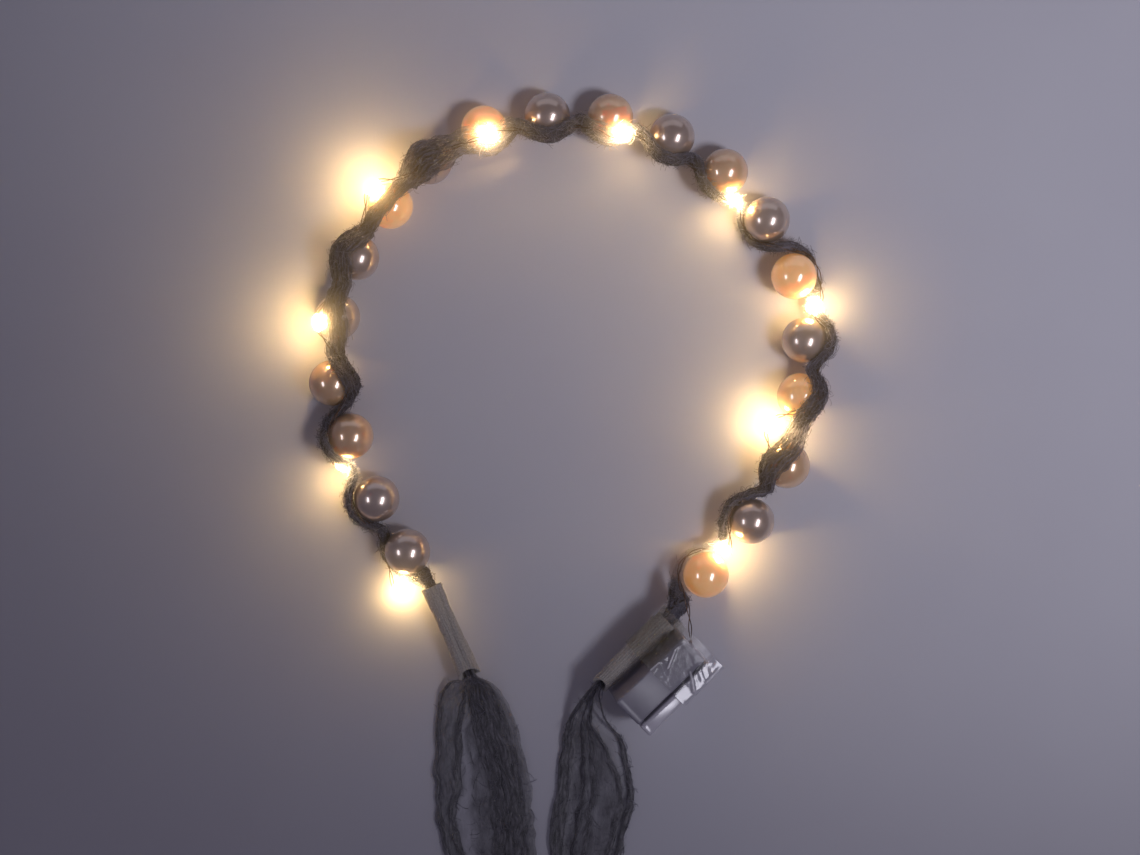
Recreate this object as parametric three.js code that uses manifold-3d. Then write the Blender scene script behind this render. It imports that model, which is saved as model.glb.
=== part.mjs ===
// A light-up headband as it lies on a table: twenty drilled pearls wound into an open loop by one crinkled
// organza ribbon, ten LED drops on a fine wire, a cloth sleeve over each end of the winding, two gathered
// ribbon tails, and a battery case held to the right sleeve by a turn of clear tape.
// Millimetres, +Z up, the table at Z = 0, the wearer's face towards +Y.
import * as THREE from "three";
import { mergeVertices } from "three/addons/utils/BufferGeometryUtils.js";
import Module from "manifold-3d";

const wasm = await Module();
wasm.setup();

// Driving dimensions
const GAP = 0.3; // clearance between pieces that touch on the real thing
const PEARL_RADIUS = 8;
const PEARL_BORE = 0.9; // radius of the drilled hole
const PEARL_SIDES = 12;
const RIBBON_THICK = 2.2; // the layers of ribbon over a pearl
const RIBBON_CREASE = 0.13; // depth of the crinkles, as a share of the bundle's radius
const RIBBON_EASE = 0.55; // of the ribbon's corners, so that its flats clear the pearls too
const PINCH_WIDTH = 4.4; // the ribbon's bundle between two pearls
const PINCH_THICK = 3.8;
const RIBBON_SWING = 0.65; // under 1 keeps the ribbon on the pearl longer before it turns into the gap
const WIRE_RADIUS = 0.35; // both strands together
const WIRE_EASE = 0.25; // of the wire's corners, so that its straights clear the pearls too
const LED_RADIUS = 1.7;
const LED_LENGTH = 6;
const LED_LEAD = 0.5; // of straight wire past each end of a drop
const SLEEVE_WALL = 0.9;
const CASE_PLACE = { x: 36, y: -92 }; // the foot of the lid's outer face, halfway along the case
const CASE_LENGTH = 32;
const CASE_HEIGHT = 26;
const CASE_BODY_THICK = 11.7;
const CASE_LID_THICK = 5.3;
const CASE_SEAM = 0.5;
const CASE_EDGE = 0.8; // rounding of the case's long edges
const CASE_LEAN = THREE.MathUtils.degToRad(10); // away from the sleeve
const CASE_TURN = THREE.MathUtils.degToRad(44); // of the case and sleeve from +X
const TAPE_WIDTH = 19;
const TAPE_WALL = 0.6;
const CLOTH_WALL = 1; // the tails' cloth

// One row per pearl, from the left end round to the right: its place, the side that the ribbon passes on in
// degrees (0 towards the head, 90 up, 180 outwards), the ribbon's width there, the side that the wire passes
// on, and how far the wire stands off.
const PEARLS = [
  { x: -56.9, y: -43.4, ribbon: 212, width: 4.0, wire: 180, slack: 0 },
  { x: -67.6, y: -24.9, ribbon: 165, width: 4.0, wire: 195, slack: 0 },
  { x: -76.7, y: -3.0, ribbon: 155, width: 5.0, wire: 190, slack: 0 },
  { x: -83.3, y: 15.6, ribbon: 40, width: 7.5, wire: 165, slack: 0 },
  { x: -81.4, y: 38.7, ribbon: 90, width: 7.0, wire: 135, slack: 0 },
  { x: -74.7, y: 59.5, ribbon: 125, width: 9.0, wire: 178, slack: 0 },
  { x: -62.9, y: 77.5, ribbon: 95, width: 5.0, wire: 145, slack: 0 },
  { x: -49.2, y: 93.1, ribbon: 90, width: 12.6, wire: 150, slack: 0 },
  { x: -30.1, y: 104.7, ribbon: 22, width: 6.5, wire: 68, slack: 0 },
  { x: -8.0, y: 109.2, ribbon: 38, width: 6.5, wire: 75, slack: 0 },
  { x: 14.1, y: 108.8, ribbon: 8, width: 6.0, wire: 60, slack: 0 },
  { x: 35.7, y: 101.8, ribbon: 30, width: 6.0, wire: 65, slack: 0 },
  { x: 54.3, y: 89.6, ribbon: 25, width: 6.0, wire: 60, slack: 0 },
  { x: 69.0, y: 72.8, ribbon: 5, width: 4.5, wire: 40, slack: 0 },
  { x: 78.4, y: 53.0, ribbon: 190, width: 5.0, wire: 150, slack: 0 },
  { x: 82.1, y: 30.5, ribbon: 165, width: 5.0, wire: 130, slack: 0 },
  { x: 80.5, y: 11.0, ribbon: 130, width: 7.5, wire: 80, slack: 0 },
  { x: 76.0, y: -13.3, ribbon: 55, width: 10.5, wire: 0, slack: 0 },
  { x: 63.6, y: -32.7, ribbon: 12, width: 4.5, wire: 45, slack: 0 },
  { x: 47.6, y: -51.6, ribbon: 8, width: 5.0, wire: 12, slack: 3 },
];
const DRILLED_ACROSS = 4; // this pearl's hole runs across the band and shows; the others' run along it
const ACROSS_TURN = THREE.MathUtils.degToRad(205);

// One row per LED drop, from the string's free end: the pearl that it lies on, or the two that it lies
// between as a half, and its place.
const LEDS = [
  { at: 0.5, x: -59.6, y: -56.5, z: 5.5 },
  { at: 2.5, x: -79.0, y: -13.6, z: 8.5 },
  { at: 5, x: -87.6, y: 36.4, z: 15.6 },
  { at: 7, x: -68.5, y: 83.6, z: 14.0 },
  { at: 9, x: -28.4, y: 101.3, z: 17.4 },
  { at: 11, x: 18.5, y: 101.8, z: 13.8 },
  { at: 13.5, x: 57.5, y: 79.3, z: 10.0 },
  { at: 15.5, x: 85.2, y: 42.6, z: 9.5 },
  { at: 17.5, x: 70.2, y: 1.0, z: 10.0 },
  { at: 19.5, x: 54.2, y: -42.8, z: 12.6 },
];
// A drop's outline between its two ends: the radius and the place along it, as shares of its own
const LED_OUTLINE = [
  { radius: 0.68, along: -0.85 },
  { radius: 1, along: -0.3 },
  { radius: 1, along: 0.3 },
  { radius: 0.68, along: 0.85 },
];
// From the last pearl the wire runs in a loose loop and then down to the end of the battery case.
const WIRE_LEAD = [
  { x: 36.0, y: -50.5, z: 11.5 },
  { x: 38.0, y: -56.6, z: 15.4 },
  { x: 42.6, y: -62.0, z: 15.8 },
  { x: 41.0, y: -68.6, z: 16.4 },
  { x: 42.2, y: -72.0, z: 16.6 },
];
const WIRE_ENTRY = { across: 3.0, height: 17 }; // where it enters the case's end, from the end's middle

// The ribbon's two ends run into the sleeves: a row per section.
const RIBBON_START = [
  { x: -46.9, y: -59.2, z: 7.3, width: 3.6, thick: 3.0 },
  { x: -48.9, y: -55.0, z: 7.4, width: 3.8, thick: 3.2 },
  { x: -51.4, y: -51.4, z: 7.6, width: 5.6, thick: 4.6 },
];
const RIBBON_FINISH = [
  { x: 38.6, y: -61.0, z: 12.6, width: 7.4, thick: 6.4 },
  { x: 34.6, y: -66.2, z: 14.3, width: 5.0, thick: 5.0 },
  { x: 30.9, y: -69.8, z: 14.5, width: 4.4, thick: 4.4 },
];

// The sleeves: a row per section, from the pearls to the tails.
const SLEEVE_LEFT = [
  { x: -48.6, y: -55.7, z: 7.4, halfWidth: 3.7, halfHeight: 3.1 },
  { x: -44.9, y: -64.2, z: 7.2, halfWidth: 3.2, halfHeight: 3.2 },
  { x: -40.4, y: -74.2, z: 7.4, halfWidth: 3.3, halfHeight: 3.2 },
  { x: -34.9, y: -86.9, z: 8.2, halfWidth: 3.9, halfHeight: 3.2 },
];
const SLEEVE_RIGHT_LENGTH = 33;
const SLEEVE_RIGHT_MIDDLE = { x: 21.8, y: -78.4, z: 14.5 };
const SLEEVE_RIGHT = [
  { along: -1, halfWidth: 4, halfHeight: 4 },
  { along: -0.3, halfWidth: 4, halfHeight: 4 },
  { along: 0.3, halfWidth: 3.8, halfHeight: 3.8 },
  { along: 1, halfWidth: 3.5, halfHeight: 3.2 },
];

// The tails: a row per section, with its left and right edges, the height of its lowest point, and the
// height of its folds. The first two rows are the gathered neck in the sleeve.
const TAIL_LEFT = [
  { left: [-37.9, -83.8], right: [-34.5, -82.4], lift: 6.5, fold: 0, thick: 2.9 },
  { left: [-36.3, -87.9], right: [-32.9, -86.5], lift: 6.5, fold: 0, thick: 3.0 },
  { left: [-41.8, -91.8], right: [-26.8, -90.4], lift: 2.6, fold: 1.6, thick: 1.8 },
  { left: [-46.0, -97.6], right: [-21.9, -97.4], lift: 0.4, fold: 2.0, thick: CLOTH_WALL },
  { left: [-47.3, -107.6], right: [-18.3, -107.6], lift: 0, fold: 1.9, thick: CLOTH_WALL },
  { left: [-47.8, -123.7], right: [-14.1, -123.7], lift: 0, fold: 1.6, thick: CLOTH_WALL },
  { left: [-48.3, -135.0], right: [-13.2, -135.0], lift: 0, fold: 1.6, thick: CLOTH_WALL },
  { left: [-45.4, -144.0], right: [-12.3, -144.0], lift: 0, fold: 1.8, thick: CLOTH_WALL },
  { left: [-42.4, -156.0], right: [-11.6, -156.0], lift: 0, fold: 1.8, thick: CLOTH_WALL },
];
const TAIL_RIGHT = [
  { left: [12.1, -85.6], right: [14.4, -87.9], lift: 13.1, fold: 0, thick: 2.8 },
  { left: [8.5, -89.0], right: [10.8, -91.3], lift: 12.9, fold: 0, thick: 3.0 },
  { left: [3.4, -95.2], right: [11.6, -99.4], lift: 6.6, fold: 1.4, thick: 1.8 },
  { left: [-1.0, -102.6], right: [14.3, -104.8], lift: 2.0, fold: 1.9, thick: CLOTH_WALL },
  { left: [-2.9, -110.0], right: [18.6, -110.0], lift: 0, fold: 2.0, thick: CLOTH_WALL },
  { left: [-4.6, -119.0], right: [21.2, -119.0], lift: 0, fold: 1.7, thick: CLOTH_WALL },
  { left: [-6.7, -131.0], right: [22.8, -131.0], lift: 0, fold: 1.6, thick: CLOTH_WALL },
  { left: [-7.3, -142.0], right: [20.2, -142.0], lift: 0, fold: 1.8, thick: CLOTH_WALL },
  { left: [-7.5, -156.0], right: [16.4, -156.0], lift: 0, fold: 1.8, thick: CLOTH_WALL },
];
const TAIL_FOLDS = 4.5;
const TAIL_WANDER = 0.35; // how far the folds drift sideways along the tail, in folds
const NECK_ROUND = 0.8; // of the gathered neck's two edges

// Facets and steps
const PEARL_STEPS = 6; // from one end of the hole to the other
const RIBBON_STEPS = 5; // stations from one pearl to the next
const RIBBON_SIDES = 8;
const SLEEVE_SIDES = 12;
const SLEEVE_STATIONS = 4;
const TAIL_COLUMNS = 16;
const TAIL_STATIONS = 12;
const WIRE_SIDES = 5;
const WIRE_STEP = 4.4;
const WIRE_PASSES = 6; // that smooth the wire
const WIRE_PULL = 0.4; // of each pass
const LED_SIDES = 10;
const EDGE_STEPS = 3; // of a rounded edge of the case
const TAPE_SIDES = 16; // of each round that the tape passes over

const UP = new THREE.Vector3(0, 0, 1);
const place = ({ x, y, z }) => new THREE.Vector3(x, y, z);

// A closed body from rings of points. Each end is closed by strips from one side of its ring to the other;
// a body whose rings come back to the first one has no ends.
function loft(rings, comesBack = false) {
  const sides = rings[0].length;
  const triangles = [];
  const last = comesBack ? rings.length : rings.length - 1;
  for (let i = 0; i < last; i++) {
    const near = i * sides;
    const far = ((i + 1) % rings.length) * sides;
    for (let k = 0; k < sides; k++) {
      const next = (k + 1) % sides;
      triangles.push([near + k, near + next, far + next], [near + k, far + next, far + k]);
    }
  }
  const cap = (first, turned) => {
    for (let a = 0, b = sides - 1; a + 1 < b; a++, b--) {
      const strip = [[a, b, a + 1]];
      if (a + 1 < b - 1) strip.push([a + 1, b, b - 1]);
      for (const [p, q, r] of strip) {
        triangles.push(turned ? [first + p, first + r, first + q] : [first + p, first + q, first + r]);
      }
    }
  };
  if (!comesBack) {
    cap(0, false);
    cap((rings.length - 1) * sides, true);
  }
  const points = rings.flat();
  const volume = triangles.reduce((sum, [a, b, c]) => {
    return sum + points[a].dot(new THREE.Vector3().crossVectors(points[b], points[c]));
  }, 0);
  const outward = volume < 0 ? triangles.map(([a, b, c]) => [a, c, b]) : triangles;
  const geometry = new THREE.BufferGeometry().setFromPoints(points);
  geometry.setIndex(outward.flat());
  return geometry;
}

// A geometry as a solid that can be joined and cut, and back again.
function toSolid(geometry) {
  const bare = geometry.clone();
  bare.deleteAttribute("normal");
  bare.deleteAttribute("uv");
  const merged = mergeVertices(bare, 1e-4);
  return new wasm.Manifold(
    new wasm.Mesh({
      numProp: 3,
      vertProperties: merged.getAttribute("position").array,
      triVerts: new Uint32Array(merged.getIndex().array),
    }),
  );
}

function fromSolid(solid) {
  const mesh = solid.getMesh();
  const geometry = new THREE.BufferGeometry();
  geometry.setAttribute("position", new THREE.BufferAttribute(mesh.vertProperties, mesh.numProp));
  geometry.setIndex(new THREE.BufferAttribute(mesh.triVerts, 1));
  return geometry;
}

// The band's line through the pearls, and its directions at a point: forward, towards the head, and up
const pearlCentres = PEARLS.map(({ x, y }) => new THREE.Vector3(x, y, PEARL_RADIUS));
const bandPoints = [...RIBBON_START.map(place), ...pearlCentres, ...RIBBON_FINISH.map(place)];
const band = new THREE.CatmullRomCurve3(bandPoints, false, "centripetal");
const firstPearl = RIBBON_START.length;
const bandAt = (index) => index / (bandPoints.length - 1);

function sideways(index, degrees) {
  const forward = band.getTangent(bandAt(index));
  const headward = new THREE.Vector3().crossVectors(forward, UP).normalize();
  const angle = THREE.MathUtils.degToRad(degrees);
  return headward.multiplyScalar(Math.cos(angle)).addScaledVector(UP, Math.sin(angle));
}

// Moves a point out of every pearl until it is clear of it by that much, and up to the table.
function clearOfPearls(point, clear) {
  for (const centre of pearlCentres) {
    const away = point.clone().sub(centre);
    if (away.length() < PEARL_RADIUS + clear) {
      point.copy(centre).addScaledVector(away.normalize(), PEARL_RADIUS + clear);
    }
  }
  point.z = Math.max(point.z, 0);
  return point;
}

// A pearl: a ball turned about its drilled hole, grown by that much
function pearlGeometry(bore, grown = 0) {
  const radius = PEARL_RADIUS + grown;
  const start = Math.asin(bore / radius);
  const profile = [];
  for (let i = 0; i <= PEARL_STEPS; i++) {
    const angle = start + ((Math.PI - 2 * start) * i) / PEARL_STEPS;
    profile.push(new THREE.Vector2(radius * Math.sin(angle), -radius * Math.cos(angle)));
  }
  if (bore > 0) profile.push(profile[0].clone());
  return new THREE.LatheGeometry(profile, PEARL_SIDES);
}

// The wire's route: past each pearl on its own side, straight through each drop, and over the ribbon in the
// gaps between. The drops' places and directions come with it.
function wireRoute() {
  const stand = PEARL_RADIUS + GAP + WIRE_RADIUS + WIRE_EASE;
  const overPinch = PINCH_WIDTH / 2 + GAP + WIRE_RADIUS + WIRE_EASE;
  const stops = [];
  for (let key = 0.5; key <= PEARLS.length; key += 0.5) {
    const led = LEDS.find(({ at }) => at === key);
    const before = Math.floor(key) - 1;
    if (led) {
      stops.push({ point: place(led), led });
    } else if (Number.isInteger(key)) {
      const out = sideways(firstPearl + before, PEARLS[before].wire);
      const point = pearlCentres[before].clone();
      stops.push({ point: point.addScaledVector(out, stand + PEARLS[before].slack) });
    } else {
      const middle = pearlCentres[before].clone().lerp(pearlCentres[before + 1], 0.5);
      const turn = (PEARLS[before].wire + PEARLS[before + 1].wire) / 2;
      stops.push({ point: middle.addScaledVector(sideways(firstPearl + before + 0.5, turn), overPinch) });
    }
  }
  WIRE_LEAD.forEach((row) => stops.push({ point: place(row) }));
  const drops = [];
  const route = [];
  stops.forEach(({ point, led }, i) => {
    if (!led) {
      route.push({ point, held: false });
      return;
    }
    const ahead = stops[i + 1].point;
    const behind = i > 0 ? stops[i - 1].point : point.clone().lerp(ahead, -0.5);
    const direction = ahead.clone().sub(behind).normalize();
    const centre = pearlCentres.find((c) => c.distanceTo(point) < PEARL_RADIUS + LED_LENGTH);
    if (centre) {
      const outward = point.clone().sub(centre).normalize();
      direction.addScaledVector(outward, -direction.dot(outward)).normalize();
    }
    const reach = LED_LENGTH / 2 + LED_LEAD;
    drops.push({ point, direction });
    const ends = i > 0 ? [-reach, 0, reach] : [-LED_LENGTH / 2, 0, reach];
    ends.forEach((s) => route.push({ point: point.clone().addScaledVector(direction, s), held: true }));
  });
  return { route, drops };
}

// The route as a line of points, smooth and clear of the pearls; the points at the drops stay where they are.
function wireLine(route, finish) {
  const stops = [...route, { point: finish, held: true }];
  const rough = new THREE.CatmullRomCurve3(stops.map(({ point }) => point), false, "centripetal");
  const line = [];
  for (let i = 0; i < stops.length - 1; i++) {
    const inDrop = stops[i].held && stops[i + 1].held;
    const pieces = inDrop ? 1 : Math.ceil(stops[i].point.distanceTo(stops[i + 1].point) / WIRE_STEP);
    for (let k = 0; k < pieces; k++) {
      const point = rough.getPoint((i + k / pieces) / (stops.length - 1));
      line.push({ point, held: k === 0 && stops[i].held });
    }
  }
  line.push(stops.at(-1));
  for (let pass = 0; pass < WIRE_PASSES; pass++) {
    line.slice(1, -1).forEach(({ point, held }, i) => {
      if (held) return;
      point.lerp(line[i].point.clone().lerp(line[i + 2].point, 0.5), WIRE_PULL);
      clearOfPearls(point, GAP + WIRE_RADIUS + WIRE_EASE);
      point.z = Math.max(point.z, WIRE_RADIUS);
    });
  }
  return line.map(({ point }) => point);
}

// A round wire of that radius along a line of points
function wireGeometry(line, radius) {
  const across = new THREE.Vector3().crossVectors(line[1].clone().sub(line[0]), UP).normalize();
  const rings = line.map((point, i) => {
    const forward = line[Math.min(i + 1, line.length - 1)].clone().sub(line[Math.max(i - 1, 0)]).normalize();
    across.addScaledVector(forward, -across.dot(forward)).normalize();
    const upward = new THREE.Vector3().crossVectors(forward, across);
    return Array.from({ length: WIRE_SIDES }, (_, k) => {
      const angle = (2 * Math.PI * k) / WIRE_SIDES;
      const corner = point.clone().addScaledVector(across, radius * Math.cos(angle));
      return corner.addScaledVector(upward, radius * Math.sin(angle));
    });
  });
  return loft(rings);
}

// An LED drop: a rounded spindle of resin turned about the wire, grown by that much
function dropGeometry(bore, grown = 0) {
  const half = LED_LENGTH / 2 + grown;
  const radius = LED_RADIUS + grown;
  const profile = [
    new THREE.Vector2(bore, -half),
    ...LED_OUTLINE.map((row) => new THREE.Vector2(row.radius * radius, row.along * half)),
    new THREE.Vector2(bore, half),
  ];
  if (bore > 0) profile.push(profile[0].clone());
  return new THREE.LatheGeometry(profile, LED_SIDES);
}

// The ribbon: a crinkled bundle that spreads over the side of each pearl and is pinched between two
function ribbonGeometry() {
  const reach = PEARL_RADIUS + GAP + RIBBON_EASE + RIBBON_THICK / 2;
  // The bundle's turn is carried on from pearl to pearl by less than a quarter turn: where that leaves the
  // pearl on its other face, the offset is negative.
  let turn = PEARLS[0].ribbon;
  const pearlRows = PEARLS.map(({ ribbon, width }) => {
    const halfTurns = Math.round((turn - ribbon) / 180);
    turn = ribbon + 180 * halfTurns;
    const face = halfTurns % 2 === 0 ? 1 : -1;
    return { turn, width, thick: RIBBON_THICK, offset: face * reach, pearl: true };
  });
  const endRow = (row, like) => ({ ...row, turn: like.turn, offset: 0, pearl: false });
  const rows = [
    ...RIBBON_START.map((row) => endRow(row, pearlRows[0])),
    ...pearlRows,
    ...RIBBON_FINISH.map((row) => endRow(row, pearlRows.at(-1))),
  ];
  const mix = THREE.MathUtils.lerp;
  const swing = (share) => Math.cos((Math.PI / 2) * share) ** RIBBON_SWING; // from a pearl's side to the gap

  const stations = [];
  for (let i = 0; i < rows.length - 1; i++) {
    const [a, b] = [rows[i], rows[i + 1]];
    const steps = a.pearl || b.pearl ? RIBBON_STEPS : 2;
    for (let k = 0; k < steps; k++) {
      const share = k / steps;
      const between = a.pearl && b.pearl;
      const near = share < 0.5 ? a : b;
      const fromPearl = between ? 2 * Math.min(share, 1 - share) : a.pearl ? share : 1 - share;
      const pearlRow = between ? near : a.pearl ? a : b;
      const other = between ? { width: PINCH_WIDTH, thick: PINCH_THICK } : a.pearl ? b : a;
      const spread = swing(fromPearl);
      const straight = !a.pearl && !b.pearl;
      stations.push({
        index: i + share,
        turn: mix(a.turn, b.turn, share),
        offset: straight ? 0 : pearlRow.offset * spread,
        width: straight ? mix(a.width, b.width, share) : mix(other.width, pearlRow.width, spread),
        thick: straight ? mix(a.thick, b.thick, share) : mix(other.thick, pearlRow.thick, spread),
        bend: straight ? 0 : (Math.sign(pearlRow.offset) * spread) / reach,
      });
    }
  }
  stations.push({ ...rows.at(-1), index: rows.length - 1, bend: 0 });

  const line = stations.map(({ index, turn: degrees, offset }) => {
    return band.getPoint(bandAt(index)).addScaledVector(sideways(index, degrees), offset);
  });
  const rings = stations.map(({ index, turn: degrees, width, thick, bend }, i) => {
    const forward = line[Math.min(i + 1, line.length - 1)].clone().sub(line[Math.max(i - 1, 0)]).normalize();
    const across = new THREE.Vector3().crossVectors(band.getTangent(bandAt(index)), sideways(index, degrees));
    across.addScaledVector(forward, -across.dot(forward)).normalize();
    const outward = new THREE.Vector3().crossVectors(across, forward);
    const ring = [];
    for (let k = 0; k < RIBBON_SIDES; k++) {
      const angle = (2 * Math.PI * (k + 0.5)) / RIBBON_SIDES;
      const crease = 1 + (k % 2 === i % 2 ? RIBBON_CREASE : -RIBBON_CREASE);
      const l = (width / 2) * Math.cos(angle) * crease;
      const m = (thick / 2) * Math.sin(angle) * crease - (bend * l * l) / 2;
      const point = line[i].clone().addScaledVector(across, l).addScaledVector(outward, m);
      ring.push(clearOfPearls(point, GAP + RIBBON_EASE));
    }
    return ring;
  });
  return loft(rings);
}

// A cloth tube along sections, open at both ends
function sleeveGeometry(rows) {
  const curve = new THREE.CatmullRomCurve3(rows.map(place), false, "centripetal");
  const rings = (inset) => {
    const list = [];
    for (let i = 0; i <= SLEEVE_STATIONS; i++) {
      const t = i / SLEEVE_STATIONS;
      const at = t * (rows.length - 1);
      const row = Math.min(Math.floor(at), rows.length - 2);
      const [a, b, share] = [rows[row], rows[row + 1], at - row];
      const halfWidth = THREE.MathUtils.lerp(a.halfWidth, b.halfWidth, share) - inset;
      const halfHeight = THREE.MathUtils.lerp(a.halfHeight, b.halfHeight, share) - inset;
      const across = new THREE.Vector3().crossVectors(curve.getTangent(t), UP).normalize();
      const upward = new THREE.Vector3().crossVectors(across, curve.getTangent(t));
      const ring = [];
      for (let k = 0; k < SLEEVE_SIDES; k++) {
        const angle = (2 * Math.PI * k) / SLEEVE_SIDES;
        const point = curve.getPoint(t).addScaledVector(across, halfWidth * Math.cos(angle));
        ring.push(point.addScaledVector(upward, halfHeight * Math.sin(angle)));
      }
      list.push(ring);
    }
    return list;
  };
  return loft([...rings(0), ...rings(SLEEVE_WALL).reverse()], true);
}

// A ribbon tail: cloth in folds, from a gathered neck to its cut end on the table
function tailGeometry(rows) {
  const column = (key, pick) => {
    const values = rows.map((row) => pick(row[key]));
    const curve = new THREE.SplineCurve(values.map((value, i) => new THREE.Vector2(i, value)));
    return (t) => curve.getPoint(t).y;
  };
  const [leftX, leftY] = [column("left", (p) => p[0]), column("left", (p) => p[1])];
  const [rightX, rightY] = [column("right", (p) => p[0]), column("right", (p) => p[1])];
  const lift = column("lift", (v) => v);
  const fold = column("fold", (v) => v);
  const thick = column("thick", (v) => v);
  const rings = [];
  for (let i = 0; i <= TAIL_STATIONS; i++) {
    const t = i / TAIL_STATIONS;
    const half = Math.max(thick(t), CLOTH_WALL) / 2;
    const height = Math.max(fold(t), 0);
    const top = [];
    const bottom = [];
    for (let k = 0; k <= TAIL_COLUMNS; k++) {
      const v = k / TAIL_COLUMNS;
      const drift = TAIL_WANDER * Math.sin(2 * Math.PI * (t + v));
      const wave = Math.sin(2 * Math.PI * (TAIL_FOLDS * v + drift));
      const z = Math.max(lift(t), 0) + half + (height * (1 + wave)) / 2;
      const x = THREE.MathUtils.lerp(leftX(t), rightX(t), v);
      const y = THREE.MathUtils.lerp(leftY(t), rightY(t), v);
      const rounded = half > CLOTH_WALL ? half * Math.sqrt(1 - NECK_ROUND * (2 * v - 1) ** 2) : half;
      top.push(new THREE.Vector3(x, y, z + rounded));
      bottom.push(new THREE.Vector3(x, y, z - rounded));
    }
    rings.push([...top, ...bottom.reverse()]);
  }
  return loft(rings);
}

// A flat-ended block with rounded long edges, along +X, from y0 to y1 and from the table up
function blockGeometry(y0, y1) {
  const [w, h, e] = [y1 - y0, CASE_HEIGHT, CASE_EDGE];
  const section = new THREE.Shape();
  section.moveTo(y0 + e, 0);
  section.lineTo(y0 + w - e, 0).absarc(y0 + w - e, e, e, -Math.PI / 2, 0, false);
  section.lineTo(y0 + w, h - e).absarc(y0 + w - e, h - e, e, 0, Math.PI / 2, false);
  section.lineTo(y0 + e, h).absarc(y0 + e, h - e, e, Math.PI / 2, Math.PI, false);
  section.lineTo(y0, e).absarc(y0 + e, e, e, Math.PI, 1.5 * Math.PI, false);
  const options = { depth: CASE_LENGTH, bevelEnabled: false, curveSegments: EDGE_STEPS };
  const block = new THREE.ExtrudeGeometry(section, options);
  // The section's own X and Y become the block's Y and Z.
  block.rotateX(Math.PI / 2).rotateZ(Math.PI / 2);
  return block.translate(-CASE_LENGTH / 2, 0, 0);
}

// The outline round a set of discs, each grown by that much, as a closed list of points
function outlineRound(discs, grown) {
  const cloud = discs.flatMap(({ y, z, radius }) => {
    const reach = radius + grown;
    return Array.from({ length: TAPE_SIDES }, (_, k) => {
      const angle = (2 * Math.PI * k) / TAPE_SIDES;
      return new THREE.Vector2(y + reach * Math.cos(angle), z + reach * Math.sin(angle));
    });
  });
  cloud.sort((a, b) => a.x - b.x || a.y - b.y);
  const halfHull = (points) => {
    const hull = [];
    for (const p of points) {
      const turnsIn = () => hull.at(-1).clone().sub(hull.at(-2)).cross(p.clone().sub(hull.at(-2))) <= 1e-6;
      while (hull.length > 1 && turnsIn()) hull.pop();
      hull.push(p);
    }
    return hull.slice(0, -1);
  };
  return [...halfHull(cloud), ...halfHull(cloud.toReversed())];
}

const materials = {
  pearl: new THREE.MeshStandardMaterial({ color: "#d8cbb9", roughness: 0.2 }),
  led: new THREE.MeshStandardMaterial({ color: "#fff0c8", roughness: 0.15, emissive: "#ffd27a" }),
  wire: new THREE.MeshStandardMaterial({ color: "#8a5a44", roughness: 0.35, metalness: 1 }),
  organza: new THREE.MeshStandardMaterial({ color: "#6f6b6e", roughness: 0.8 }),
  sleeve: new THREE.MeshStandardMaterial({ color: "#d9d6d2", roughness: 0.9 }),
  plastic: new THREE.MeshStandardMaterial({ color: "#b9b7c0", roughness: 0.45 }),
  tape: new THREE.MeshStandardMaterial({ color: "#e6e6ea", roughness: 0.08 }),
};

const headband = new THREE.Group();
function add(name, geometry, material, parent = headband) {
  const mesh = new THREE.Mesh(geometry, material);
  mesh.name = name;
  parent.add(mesh);
  return mesh;
}
const numbered = (name, i) => `${name}_${String(i + 1).padStart(2, "0")}`;

// Pearls, each turned so that its hole lies level, with a row of corners straight down
const pearls = PEARLS.map((row, i) => {
  const forward = band.getTangent(bandAt(firstPearl + i));
  const along = Math.atan2(forward.y, forward.x);
  const pearl = add(numbered("pearl", i), pearlGeometry(PEARL_BORE), materials.pearl);
  pearl.position.copy(pearlCentres[i]);
  pearl.rotation.z = (i + 1 === DRILLED_ACROSS ? ACROSS_TURN : along) + Math.PI / 2;
  return pearl;
});

// The battery case stands on its long edge beside the right sleeve and leans away from it.
const caseThick = CASE_BODY_THICK + CASE_SEAM + CASE_LID_THICK;
const caseFoot = new THREE.Group();
caseFoot.position.set(CASE_PLACE.x, CASE_PLACE.y, GAP + TAPE_WALL);
caseFoot.rotation.z = CASE_TURN;
headband.add(caseFoot);
const batteryBox = new THREE.Group();
batteryBox.rotation.x = CASE_LEAN;
caseFoot.add(batteryBox);
add("battery_lid", blockGeometry(0, CASE_LID_THICK), materials.plastic, batteryBox);
add("battery_case", blockGeometry(CASE_LID_THICK + CASE_SEAM, caseThick), materials.plastic, batteryBox);
headband.updateMatrixWorld(true);

// Sleeves
const sleeveForward = new THREE.Vector3(-Math.cos(CASE_TURN), -Math.sin(CASE_TURN), 0);
const sleeveRightRows = SLEEVE_RIGHT.map(({ along, halfWidth, halfHeight }) => {
  const point = place(SLEEVE_RIGHT_MIDDLE).addScaledVector(sleeveForward, (along * SLEEVE_RIGHT_LENGTH) / 2);
  return { x: point.x, y: point.y, z: point.z, halfWidth, halfHeight };
});
add("sleeve_left", sleeveGeometry(SLEEVE_LEFT), materials.sleeve);
add("sleeve_right", sleeveGeometry(sleeveRightRows), materials.sleeve);

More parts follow.
